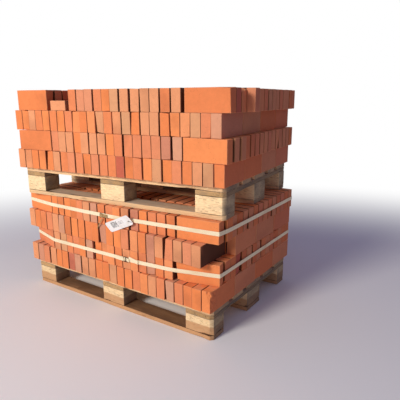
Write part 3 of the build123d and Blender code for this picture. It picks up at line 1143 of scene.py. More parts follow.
@dataclass
class BrickLoad:
    """The four courses on one pallet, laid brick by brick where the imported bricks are."""

    prefix: str
    place: Place
    shape: BrickShape
    clay: bpy.types.Material
    notes: dict[int, Notes]
    seed: int
    courses: int = 4
    rows: int = 4
    row_joint: float = 0.002
    uneven_height: float = 0.012
    uneven_length: float = 0.008
    uneven_turn: float = math.radians(0.28)
    tremble: float = 0.0006
    tremble_size: float = 0.03

    def build(self, nodes: dict[str, bpy.types.Object]) -> None:
        """Lay every course.

        Args:
            nodes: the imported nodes.
        """
        chance = np.random.default_rng(self.seed)
        tree = self._tree()
        for course in range(1, self.courses + 1):
            node = f"{self.prefix}_bricks_course_{course}"
            bricks = self._numbered(self._read(nodes[node]))
            mesh = tree.run(self._points(bricks, self.notes.get(course, Notes()), chance, node))
            link(f"{self.prefix}_course_{course}_bricks", mesh, [node])

    def _read(self, node: bpy.types.Object) -> list[Laid]:
        """Every brick of a course: its middle, its turn and its sizes."""
        form = solid_copy(node)
        bricks = []
        for corners in islands(form):
            edges = {edge for corner in corners for edge in corner.link_edges}
            level = [edge for edge in edges if abs(edge.verts[0].co.z - edge.verts[1].co.z) < WELD]
            longest = max(level, key=lambda edge: edge.calc_length())
            run = longest.verts[1].co - longest.verts[0].co
            yaw = math.atan2(run.y, run.x)
            back = Matrix.Rotation(-yaw, 3, "Z")
            spots = np.array([(back @ corner.co)[:] for corner in corners])
            low, high = spots.min(axis=0), spots.max(axis=0)
            centre = Matrix.Rotation(yaw, 3, "Z") @ Vector((low + high) / 2)
            bricks.append(Laid(centre, yaw, *(float(size) for size in high - low)))
        form.free()
        return bricks

    def _numbered(self, bricks: list[Laid]) -> list[Laid]:
        """Give each brick its run, row and number, and put them in a fixed order."""
        pitch = self.shape.length + self.row_joint
        for brick in bricks:
            spot = self.place.local(brick.centre)
            lengthwise = abs(math.cos(brick.yaw - self.place.turn)) > 0.7
            if lengthwise:
                brick.run = Run.LEFT_TURNED if spot.x < 0 else Run.RIGHT_TURNED
                brick.lies_at = spot.y
            else:
                brick.run = Run.LYING if brick.lying else Run.HEADER
                brick.row = round(spot.y / pitch + (self.rows - 1) / 2)
                brick.lies_at = spot.x
        ordered = sorted(bricks, key=lambda brick: (brick.run.value, brick.row, brick.lies_at))
        counts: dict[tuple[Run, int], int] = {}
        for brick in ordered:
            counts[(brick.run, brick.row)] = counts.get((brick.run, brick.row), 0) + 1
            brick.number = counts[(brick.run, brick.row)]
        self._note_clearances(ordered)
        return ordered

    def _note_clearances(self, bricks: list[Laid]) -> None:
        """Note which way each brick's outer end points, and how far its flanks stand clear."""
        turn = Matrix.Rotation(self.place.turn, 3, "Z")
        last_row = max(brick.row for brick in bricks)
        columned = any(brick.run in TURNED for brick in bricks)
        widest = max(self.place.local(brick.centre).x for brick in bricks)
        groups: dict[tuple[Run, int], list[Laid]] = {}
        for brick in bricks:
            groups.setdefault((brick.run, brick.row), []).append(brick)
        for (run, row), group in groups.items():
            if run in TURNED:
                outward = Vector((1 if run is Run.RIGHT_TURNED else -1, 0, 0))
                onward = Vector((0, 1, 0))
            else:
                outward = Vector((0, (row == last_row) - (row == 0), 0))
                onward = Vector((1, 0, 0))
            reaches = [self.place.local(brick.centre).dot(outward) + brick.along / 2 for brick in group]
            bare = self.shape.length if run in TURNED or not columned else 0.0
            short = self.place.local(group[-1].centre).x < widest - self.shape.thickness / 2
            for n, brick in enumerate(group):
                before = max(reaches[n] - reaches[n - 1], 0.0) if n else bare
                after = max(reaches[n] - reaches[n + 1], 0.0) if n + 1 < len(group) else bare
                if n + 1 == len(group) and short and run is Run.HEADER:
                    after = 0.0
                brick.outward, brick.onward, brick.clear = turn @ outward, turn @ onward, (before, after)

    def _clay_of(self, brick: Laid, notes: Notes, chance: np.random.Generator) -> float:
        """The place of a brick's colour on the clay ramp."""
        shares = np.array([clay.share for clay in Clay], float)
        drawn = list(Clay)[chance.choice(len(Clay), p=shares / shares.sum())]
        spread = chance.uniform(-0.45, 0.45) / (len(Clay) - 1)
        noted = notes.clays.get((brick.run, brick.number)) if brick.row == 0 else None
        return noted.place + spread * 0.4 if noted else drawn.place + spread

    def _points(
        self,
        bricks: list[Laid],
        notes: Notes,
        chance: np.random.Generator,
        name: str,
    ) -> bpy.types.Mesh:
        """One point a brick, which holds how the brick is turned, fitted, coloured and formed.

        Args:
            bricks: the bricks in order.
            notes: what sets some of them apart.
            chance: the source of everything random.
            name: name of the mesh.

        Returns:
            The mesh of points.
        """
        spots, turns, fits, kinds, clays, kilns, bare = [], [], [], [], [], [], []
        for brick in bricks:
            broken = notes.broken.get((brick.run, brick.number)) if brick.row == 0 else None
            lower = 1 - chance.uniform(0, self.uneven_height)
            shorter = 1 - chance.uniform(0, self.uneven_length)
            slimmer = 1 - chance.uniform(0, self.uneven_length)
            facing = self._facing(brick)
            tipped = math.pi / 2 if brick.lying else 0.0
            if broken is None:
                facing += math.pi * chance.integers(2)
                tipped += math.pi * chance.integers(2)
            wobble = chance.normal(0, self.uneven_turn / 2, 3)
            up, across = (brick.up, brick.across) if not brick.lying else (brick.across, brick.up)
            centre = brick.centre - Vector((0, 0, brick.up * (1 - lower) / 2))
            spots.append(centre[:])
            turns.append((tipped + wobble[0] * 0.5, wobble[1] * 0.3, facing + wobble[2]))
            ahead = Vector((math.cos(facing), math.sin(facing), 0.0))
            beside = Vector((-math.sin(facing), math.cos(facing), 0.0)) * math.cos(tipped)
            before, after = brick.clear if not brick.lying else (self.shape.length, self.shape.length)
            clear = (after, before) if beside.dot(brick.onward) > 0 else (before, after)
            bare.append((ahead.dot(brick.outward), *clear))
            along = self.shape.length if broken else brick.along
            slim = self.shape.thickness if broken else across
            taken = (along * shorter, slim * slimmer, up * lower)
            fits.append(tuple(size / whole for size, whole in zip(taken, self.shape.sizes)))
            draw = int(chance.integers(self.shape.worn_forms))
            kinds.append(self.shape.index(broken or Kind.WORN, draw))
            clays.append(self._clay_of(brick, notes, chance))
            kilns.append(chance.uniform())
        mesh = plain_mesh(name + "_points", spots)
        store(mesh, "turn", turns, "FLOAT_VECTOR")
        store(mesh, "fit", fits, "FLOAT_VECTOR")
        store(mesh, "kind", kinds, "INT")
        store(mesh, "clay", np.clip(clays, 0.0, 1.0))
        store(mesh, "kiln", kilns)
        store(mesh, "bare", bare, "FLOAT_VECTOR")
        return mesh

    def _facing(self, brick: Laid) -> float:
        """The turn that points a brick's own front end out of the load."""
        wanted = {Run.RIGHT_TURNED: 0.0, Run.LEFT_TURNED: math.pi}.get(brick.run, -math.pi / 2)
        off = math.remainder(brick.yaw - self.place.turn - wanted, 2 * math.pi)
        return brick.yaw + (math.pi if abs(off) > math.pi / 2 else 0.0)

    def _tree(self) -> Shaper:
        """The tree that lays one brick on each point and roughens it."""
        inputs = {
            "Brick Forms": self.shape.forms,
            "Tremble": self.tremble,
            "Tremble Size": self.tremble_size,
            "Material": self.clay,
        }
        tree = Shaper(f"lay_{self.prefix}_bricks", inputs)
        forms = {0: tree.named("Brick Forms"), "Separate Children": True, "Reset Children": True}
        laid = tree.node("GeometryNodeInstanceOnPoints", sockets={
            "Points": tree.named("Geometry"),
            "Instance": tree.node("GeometryNodeCollectionInfo", sockets=forms),
            "Pick Instance": True,
            "Instance Index": tree.stored("kind", "INT"),
            "Rotation": tree.stored("turn", "FLOAT_VECTOR"),
            "Scale": tree.stored("fit", "FLOAT_VECTOR"),
        })
        real = tree.node("GeometryNodeRealizeInstances", sockets={0: laid})
        blots = {"Scale": 0.5 / tree.named("Tremble Size"), "Detail": 1.0}
        rough = tree.node("ShaderNodeTexNoise", sockets=blots, outlet="Color")
        shift = tree.node("ShaderNodeVectorMath", {"operation": "SUBTRACT"}, {0: rough, 1: (0.5, 0.5, 0.5)})
        reach = {0: shift, "Scale": tree.named("Tremble")}
        moved = tree.node("ShaderNodeVectorMath", {"operation": "SCALE"}, reach)
        tree.finish(tree.node("GeometryNodeSetPosition", sockets={0: real, "Offset": moved}))
        return tree


@dataclass
class Crumbs:
    """Bits of broken brick lying on the bare ledges of the lower load."""

    clay: bpy.types.Material
    count: int = 70
    smallest: float = 0.0022
    largest: float = 0.0075
    seed: int = 5

    def build(self, ledges: Sequence[tuple[Vector, Vector, float]]) -> None:
        """Scatter the crumbs.

        Args:
            ledges: the bare places, each as its low corner, its high corner and its share of the crumbs.
        """
        chance = np.random.default_rng(self.seed)
        spots = []
        for low, high, share in ledges:
            for _ in range(round(self.count * share)):
                spots.append([chance.uniform(a, b) if a < b else a for a, b in zip(low, high)])
        mesh = plain_mesh("crumb_points", spots)
        sizes = chance.uniform(0, 1, len(spots)) ** 2 * (self.largest - self.smallest) + self.smallest
        fits = [(size, size * chance.uniform(0.6, 1.0), size * chance.uniform(0.4, 0.8)) for size in sizes]
        store(mesh, "fit", fits, "FLOAT_VECTOR")
        store(mesh, "turn", [(0.0, 0.0, chance.uniform(0, 6.28)) for _ in sizes], "FLOAT_VECTOR")
        store(mesh, "clay", chance.uniform(0.2, 0.9, len(spots)))
        store(mesh, "kiln", chance.uniform(0, 1, len(spots)))
        crumb = self._crumb()
        tree = Shaper("scatter_crumbs", {"Crumb": crumb, "Material": self.clay})
        lump = tree.node("GeometryNodeObjectInfo", sockets={0: tree.named("Crumb")}, outlet="Geometry")
        laid = tree.node("GeometryNodeInstanceOnPoints", sockets={
            "Points": tree.named("Geometry"),
            "Instance": lump,
            "Rotation": tree.stored("turn", "FLOAT_VECTOR"),
            "Scale": tree.stored("fit", "FLOAT_VECTOR"),
        })
        tree.finish(laid)
        link("brick_crumbs", tree.run(mesh), [])
        bpy.data.objects.remove(crumb)

    @staticmethod
    def _crumb() -> bpy.types.Object:
        """A lump one unit across, flat underneath."""
        form = bmesh.new()
        bmesh.ops.create_icosphere(form, subdivisions=1, radius=0.5)
        for vertex in form.verts:
            vertex.co *= 1 + 0.5 * noise.noise(vertex.co * 3 + Vector((4.0, 1.0, 2.0)))
            vertex.co.z = max(vertex.co.z, -0.28) + 0.28
        mesh = to_mesh(form, "crumb")
        store(mesh, "brick_place", [(corner.co * 0.01)[:] for corner in mesh.vertices], "FLOAT_VECTOR")
        return bpy.data.objects.new("crumb", mesh)


# Pallets


class Cut(Enum):
    """How a piece of a pallet was sawn: the axis its grain runs along, and the spacing of its cross cuts."""

    LENGTHWISE = (0, (0.055, 0.024, 0.0))
    CROSSWISE = (1, (0.028, 0.055, 0.0))
    BLOCK = (0, (0.02, 0.02, 0.02))


@dataclass
class Pallet:
    """One flat pallet: boards along, stringer boards across and the blocks between them."""

    prefix: str
    place: Place
    woods: dict[Cut, bpy.types.Material]
    nail: bpy.types.Material
    seed: int
    arris: float = 0.0016
    wear: float = 0.0011
    flush: float = 0.0004
    wave_along: float = 5.0
    wave_across: float = 22.0
    bite: float = 0.012
    cut_shift: float = 0.0007
    nail_radius: float = 0.0045
    nail_height: float = 0.0012
    nail_rise: float = 0.00064
    nails_along: tuple[float, float] = (-0.045, 0.045)
    nails_across: tuple[float, float] = (-0.02475, 0.02475)

    def build(self, nodes: dict[str, bpy.types.Object]) -> None:
        """Make every board, block and nail of the pallet.

        Args:
            nodes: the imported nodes.
        """
        chance = np.random.default_rng(self.seed)
        mine = sorted(name for name in nodes if name.startswith(self.prefix) and "bricks" not in name)
        for node in mine:
            cut = self._cut(node)
            mesh = self._piece(nodes[node], cut, chance)
            mesh.materials.append(self.woods[cut])
            link(f"{node}_wood", mesh, [node])
        self._nails([name for name in mine if "_block_" in name])

    @staticmethod
    def _cut(node: str) -> Cut:
        """How the piece that a node stands for was sawn."""
        if "_block_" in node:
            return Cut.BLOCK
        return Cut.CROSSWISE if "_stringer_" in node else Cut.LENGTHWISE

    def _piece(self, node: bpy.types.Object, cut: Cut, chance: np.random.Generator) -> bpy.types.Mesh:
        """A board or block with worn arrises and a slightly uneven surface.

        Args:
            node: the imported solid.
            cut: how it was sawn.
            chance: the source of everything random.

        Returns:
            The mesh, in its place.
        """
        form = solid_copy(node)
        back = self.place.matrix().inverted()
        bmesh.ops.transform(form, matrix=back, verts=form.verts)
        round_arrises(form, self.arris, 2)
        grain, spacing = cut.value
        for axis in range(3):
            if spacing[axis]:
                low = min(vertex.co[axis] for vertex in form.verts)
                high = max(vertex.co[axis] for vertex in form.verts)
                count = max(int((high - low) / spacing[axis]), 1)
                places = [low + (high - low) * n / count + self.cut_shift for n in range(1, count)]
                slice_along(form, axis, places)
        drift = Vector(chance.uniform(-9, 9, 3))
        form.normal_update()
        waves = Vector([self.wave_across] * 3)
        waves[grain] = self.wave_along
        moves = []
        for vertex in form.verts:
            spot = Vector(vertex.co[n] * waves[n] for n in range(3)) + drift
            sharp = max((edge.calc_face_angle(0.0) for edge in vertex.link_edges), default=0.0) > 0.3
            depth = self.wear * (0.45 + noise.noise(spot) * 0.9)
            bite = max(noise.noise(spot * 2.6) - 0.32, 0.0) * self.bite * sharp
            moves.append(vertex.normal * (max(depth, 0.0) + self.flush + bite))
        for vertex, move in zip(form.verts, moves):
            vertex.co -= move
        mesh = to_mesh(form, node.name + "_wood")
        for polygon in mesh.polygons:
            polygon.use_smooth = cut is not Cut.BLOCK
        mesh.set_sharp_from_angle(angle=math.radians(35))
        order = [grain, 1 - grain, 2]
        shift = chance.uniform(0.0, 3.0, 3)
        places = [[v.co[axis] + shift[n] for n, axis in enumerate(order)] for v in mesh.vertices]
        store(mesh, "timber", places, "FLOAT_VECTOR")
        store(mesh, "plank", [float(chance.uniform())] * len(mesh.vertices))
        mesh.transform(self.place.matrix())
        return mesh

    def _nails(self, blocks: list[str]) -> None:
        """Four nail heads in the foot of each bottom board at every block."""
        back = self.place.matrix().inverted()
        spots = []
        for node in blocks:
            low, high = (back @ Vector(corner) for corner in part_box(node))
            middle = (low + high) / 2
            for along in self.nails_along:
                for across in self.nails_across:
                    spots.append((middle.x + along, middle.y + across, 0.0))
        inputs = {"Head Radius": self.nail_radius, "Head Height": self.nail_height, "Material": self.nail}
        tree = Shaper(f"drive_{self.prefix}_nails", inputs)
        sizes = {"Vertices": 12, "Radius": tree.named("Head Radius"), "Depth": tree.named("Head Height")}
        head = tree.node("GeometryNodeMeshCylinder", sockets=sizes)
        laid = {"Points": tree.named("Geometry"), "Instance": head}
        tree.finish(tree.node("GeometryNodeInstanceOnPoints", sockets=laid))
        mesh = tree.run(plain_mesh("nail_points", spots))
        mesh.transform(self.place.matrix() @ Matrix.Translation((0, 0, self.nail_rise)))
        link(f"{self.prefix}_nail_heads", mesh, [])


# Straps


@dataclass
class Webbing:
    """Flat corded strapping, as a section that is drawn along a line."""

    material: bpy.types.Material
    width: float = STRAP_WIDTH
    thickness: float = 0.0012
    cords: int = STRAP_CORDS
    cord_relief: float = 0.0001
    thin_edge: float = 0.0003
    corner: float = 0.0045
    least_face: float = 0.00012
    sway: float = 0.0016

    def section(self) -> list[Spot]:
        """The section's outline: out from the load, across the strap, and the share of the width crossed."""
        steps = self.cords * 2
        side = []
        for n in range(steps + 1):
            across = n / steps
            rib = self.cord_relief * (1 - math.cos(2 * math.pi * across * self.cords))
            edge = self.thin_edge if n in (0, steps) else 0.0
            side.append((across, self.thickness - 2 * self.cord_relief + rib - edge, edge))
        outer = [(high, across) for across, high, _ in side]
        inner = [(low, across) for across, _, low in reversed(side)]
        return [(out, (across - 0.5) * self.width, across) for out, across in outer + inner]

    def round_load(self, node: bpy.types.Object, name: str) -> None:
        """Draw the strapping round the load where a packed strap runs.

        Args:
            node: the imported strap.
            name: name of the piece.
        """
        spots = sorted({(round(v.co.x, 5), round(v.co.y, 5)) for v in node.data.vertices})
        hull = _hull(spots)
        low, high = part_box(node.name)
        z = (low[2] + high[2]) / 2
        path = plain_mesh(name + "_path", [(x, y, z) for x, y in hull], closed_edges(len(hull)))
        outline = self.section()
        spots = [(out - self.thickness, across, 0.0) for out, across, _ in outline]
        section = plain_mesh(name + "_section", spots, closed_edges(len(outline)))
        store(section, "across", [across for _, _, across in outline])
        profile = bpy.data.objects.new(name + "_section", section)
        inputs = {
            "Section": profile,
            "Corner Bend": self.corner,
            "Least Face": self.least_face,
            "Sway": self.sway,
            "Material": self.material,
        }
        tree = Shaper(f"draw_{name}", inputs)
        line = tree.node("GeometryNodeMeshToCurve", sockets={0: tree.named("Geometry")})
        corners = {0: line, "Count": 4, "Radius": tree.named("Corner Bend"), "Limit Radius": True}
        bent = tree.node("GeometryNodeFilletCurve", {"mode": "POLY"}, corners)
        cut = tree.node("GeometryNodeSubdivideCurve", sockets={0: bent, "Cuts": 2})
        along = tree.node("GeometryNodeSplineParameter", outlet="Length")
        noted = {0: cut, "Name": "run", "Value": along}
        kept = tree.node("GeometryNodeStoreNamedAttribute", {"data_type": "FLOAT", "domain": "POINT"}, noted)
        level = tree.node("GeometryNodeSetCurveNormal", {"mode": "Z_UP"}, {0: kept})
        shape = tree.node("GeometryNodeObjectInfo", sockets={0: tree.named("Section")}, outlet="Geometry")
        shape = tree.node("GeometryNodeMeshToCurve", sockets={0: shape})
        drawn = tree.node("GeometryNodeCurveToMesh", sockets={"Curve": level, "Profile Curve": shape})
        nearest = {0: drawn, "Distance": tree.named("Least Face")}
        joined = tree.node("GeometryNodeMergeByDistance", sockets=nearest)
        swing = tree.node("ShaderNodeTexNoise", sockets={"Scale": 2.4, "Detail": 0.0})
        lift = (swing - 0.5) * 2.0 * tree.named("Sway")
        offset = tree.node("ShaderNodeCombineXYZ", sockets={2: lift})
        tree.finish(tree.node("GeometryNodeSetPosition", sockets={0: joined, "Offset": offset}))
        mesh = tree.run(path)
        bpy.data.objects.remove(profile)
        link(f"{name}_webbing", mesh, [node.name])

    def strip(
        self,
        form: bmesh.types.BMesh,
        line: Sequence[Vector],
        across: Sequence[Vector],
        widths: Sequence[float],
        start: float = 0.0,
    ) -> None:
        """Draw a short length of strapping with free ends.

        Args:
            form: the mesh that takes it.
            line: points along its middle.
            across: the way its width runs at each point.
            widths: its width at each point, as a share of the whole.
            start: where along the strapping it begins.
        """
        runs = form.verts.layers.float.get("run") or form.verts.layers.float.new("run")
        crossings = form.verts.layers.float.get("across") or form.verts.layers.float.new("across")
        outline = self.section()
        rings = []
        run = start
        for n, spot in enumerate(line):
            ahead = line[min(n + 1, len(line) - 1)] - line[max(n - 1, 0)]
            wide = across[n].normalized()
            out = ahead.cross(wide).normalized()
            ring = []
            for high, side, share in outline:
                vertex = form.verts.new(spot + out * (high - self.thickness / 2) + wide * side * widths[n])
                vertex[runs] = run
                vertex[crossings] = share
                ring.append(vertex)
            rings.append(ring)
            if n + 1 < len(line):
                run += (line[n + 1] - spot).length
        count = len(outline)
        for first, second in zip(rings, rings[1:]):
            for n in range(count):
                form.faces.new((first[n], first[(n + 1) % count], second[(n + 1) % count], second[n]))
        form.faces.new(list(reversed(rings[0])))
        form.faces.new(rings[-1])

    def close(self, form: bmesh.types.BMesh, name: str, replaced: Sequence[str]) -> None:
        """Finish a piece made of short lengths."""
        mesh = to_mesh(form, name)
        mesh.materials.append(self.material)
        link(name, mesh, replaced)


def _hull(spots: Sequence[tuple[float, float]]) -> list[tuple[float, float]]:
    """The tight outline round points in plan, counter-clockwise."""
    halves = []
    for ordered in (spots, spots[::-1]):
        chain: list[tuple[float, float]] = []
        for x, y in ordered:
            while len(chain) > 1:
                (ax, ay), (bx, by) = chain[-2:]
                if (bx - ax) * (y - ay) - (by - ay) * (x - ax) > 1e-9:
                    break
                chain.pop()
            chain.append((x, y))
        halves.append(chain[:-1])
    return halves[0] + halves[1]


def arc(points: Sequence[Spot], count: int) -> list[Vector]:
    """A smooth line through points.

    Args:
        points: points that the line passes through.
        count: number of points on the line.

    Returns:
        Points along the line.
    """
    spots = [Vector(point) for point in points]
    ends = [spots[0] * 2 - spots[1], *spots, spots[-1] * 2 - spots[-2]]
    line = []
    for n in range(count):
        at = n / (count - 1) * (len(spots) - 1)
        step = min(int(at), len(spots) - 2)
        t = at - step
        a, b, c, d = ends[step : step + 4]
        bend = (2 * a - 5 * b + 4 * c - d) * t**2 + (3 * b - a - 3 * c + d) * t**3
        line.append(0.5 * ((2 * b) + (c - a) * t + bend))
    return line


@dataclass(frozen=True)
class Lap:
    """One short length of the knot: its line from the knot's middle, the way it is wide, and its widths."""

    points: tuple[Spot, ...]
    across: Spot
    widths: tuple[float, ...]
    start: float


KNOT_LAPS = (
    Lap(
        (
            (-0.0095, -0.0022, 0.004),
            (-0.006, -0.0062, 0.003),
            (0.0, -0.0072, 0.0),
            (0.006, -0.0062, -0.003),
            (0.0105, -0.0022, -0.005),
        ),
        (0.3, 0.0, 1.0),
        (0.92,) * 11,
        0.0,
    ),
    Lap(
        (
            (-0.004, -0.0040, 0.009),
            (0.003, -0.0066, 0.004),
            (0.008, -0.0060, -0.004),
            (0.010, -0.0030, -0.011),
        ),
        (0.9, 0.0, 0.5),
        (0.30, 0.4, *(0.5,) * 7, 0.44, 0.36),
        0.4,
    ),
    Lap(
        (
            (0.004, -0.003, 0.003),
            (0.012, -0.0042, 0.0015),
            (0.024, -0.0036, -0.001),
            (0.038, -0.0022, -0.003),
        ),
        (0.0, 0.0, 1.0),
        (0.5, 0.55, 0.6, 0.68, 0.75, 0.82, 0.88, 0.94, 0.97),
        0.7,
    ),
)


@dataclass
class Knot:
    """The top strap's knot: a loop, a fold, the neck that runs into the strap, a wire tie and a loose end."""

    webbing: Webbing
    wire: bpy.types.Material
    tie_reach: float = 0.0125
    tie_radius: float = 0.0013

    def build(self) -> None:
        """Make the knot and its loose end."""
        low, high = (Vector(corner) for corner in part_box("strap_knot"))
        back = high.y
        middle = (low + high) / 2
        middle.y = back
        form = bmesh.new()
        for lap in KNOT_LAPS:
            line = [middle + spot for spot in arc(lap.points, len(lap.widths))]
            self.webbing.strip(form, line, [Vector(lap.across)] * len(line), lap.widths, lap.start)
        self.webbing.close(form, "strap_knot_folds", ["strap_knot"])
        self._tie(Vector((low.x + 0.004, back, middle.z)))
        self._loose_end(back)

    def _tie(self, place: Vector) -> None:
        """A dark turn of wire that pinches the strap where the knot begins."""
        turn = (
            (0.0, -0.0008, self.tie_reach),
            (0.0006, -0.0040, self.tie_reach - 0.002),
            (0.0, -0.0058, 0.0),
            (-0.0006, -0.0040, 0.002 - self.tie_reach),
            (0.0, -0.0008, -self.tie_reach),
        )
        line = [place + spot for spot in arc(turn, 13)]
        path = plain_mesh("tie_path", line, open_edges(len(line)))
        link("strap_knot_tie", round_wire(path, self.tie_radius, 8, self.wire), [])

    def _loose_end(self, back: float) -> None:
        """The strap's end, which hangs from the knot and turns edge on."""
        start, end = (Vector(corner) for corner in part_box("top_strap_tail"))
        form = bmesh.new()
        head = Vector((end.x - 0.004, back - 0.003, end.z - 0.002))
        foot = Vector((start.x + 0.003, end.y - 0.0014, start.z + 0.013))
        bend = (head + foot) / 2 + Vector((0.003, -0.003, 0.004))
        line = arc([head[:], bend[:], foot[:]], 15)
        flat = Vector((head.z - foot.z, 0.0, foot.x - head.x)).normalized()
        across, widths = [], []
        for n in range(len(line)):
            down = n / (len(line) - 1)
            turn = math.radians(15 + 25 * down)
            across.append(flat * math.cos(turn) - Vector((0.0, 0.35 * math.sin(turn), 0.0)))
            widths.append(0.36 - 0.12 * down)
        self.webbing.strip(form, line, across, widths, 1.3)
        self.webbing.close(form, "top_strap_loose_end", ["top_strap_tail"])


@dataclass
class Buckle:
    """The bottom strap's wire buckle, the strap's folds round it and the short end past it."""

    webbing: Webbing
    wire: bpy.types.Material
    gauge: float = 0.0034
    bend: float = 0.005

    def build(self) -> None:
        """Make the wire and the folds of strap on it."""
        low, high = (Vector(corner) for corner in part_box("strap_buckle"))
        middle = (low + high) / 2
        half = (high - low) / 2
        radius = self.gauge / 2
        self._wire(middle, half.x - radius, half.z - radius, radius)
        form = bmesh.new()
        up = Vector((0, 0, 1))
        for side in (-1, 1):
            edge = middle.x + side * (half.x - radius)
            hook = [
                (side * out, deep, 0.0)
                for out, deep in (
                    (-0.001, 0.0028),
                    (0.0026, 0.0012),
                    (0.0026, -0.0014),
                    (-0.001, -0.0029),
                    (-0.008, -0.0030),
                )
            ]
            line = [Vector((edge - spot.x, middle.y + spot.y, middle.z)) for spot in arc(hook, 15)]
            self.webbing.strip(form, line, [up] * len(line), [0.9] * len(line), 0.2)
        doubled = arc(
            [
                (middle.x - 0.066, low.y + 0.0003, middle.z + 0.001),
                (middle.x - 0.04, low.y - 0.0004, middle.z),
                (middle.x - half.x - 0.002, low.y - 0.0002, middle.z),
            ],
            9,
        )
        self.webbing.strip(form, doubled, [up] * len(doubled), [0.97] * len(doubled), 0.9)
        self.webbing.close(form, "buckle_strap_folds", [])
        self._short_end()

    def _wire(self, middle: Vector, wide: float, high: float, radius: float) -> None:
        """The wire: a rounded frame with a bar across it."""
        corners = []
        for n, (sx, sz) in enumerate(((1, 1), (-1, 1), (-1, -1), (1, -1))):
            for step in range(5):
                turn = math.pi / 2 * (n + step / 4)
                x = middle.x + sx * (wide - self.bend) + self.bend * math.cos(turn)
                z = middle.z + sz * (high - self.bend) + self.bend * math.sin(turn)
                corners.append((x, middle.y, z))
        count = len(corners)
        corners += [(middle.x, middle.y, middle.z + high), (middle.x, middle.y, middle.z - high)]
        path = plain_mesh("buckle_path", corners, [*closed_edges(count), *open_edges(2, count)])
        mesh = round_wire(path, radius, 10, self.wire)
        for polygon in mesh.polygons:
            polygon.use_smooth = len(polygon.vertices) == 4
        link("buckle_bent_wire", mesh, ["strap_buckle"])

    def _short_end(self) -> None:
        """The end of the strap past the buckle, lifting a little off the load."""
        low, high = (Vector(corner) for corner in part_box("bottom_strap_tail"))
        inner = high.y - 0.0008
        height = (high.z - low.z - self.webbing.width) / 2
        middle = (low.z + high.z) / 2
        form = bmesh.new()
        line = arc(
            [
                (low.x + 0.002, inner, middle + height),
                ((low.x + high.x) / 2, inner - 0.0006, middle),
                (high.x - 0.003, inner - 0.0022, middle - height),
            ],
            11,
        )
        lean = Vector((line[0].z - line[-1].z, 0, line[-1].x - line[0].x))
        self.webbing.strip(form, line, [lean] * len(line), [0.96] * len(line), 2.1)
        self.webbing.close(form, "bottom_strap_short_end", ["bottom_strap_tail"])


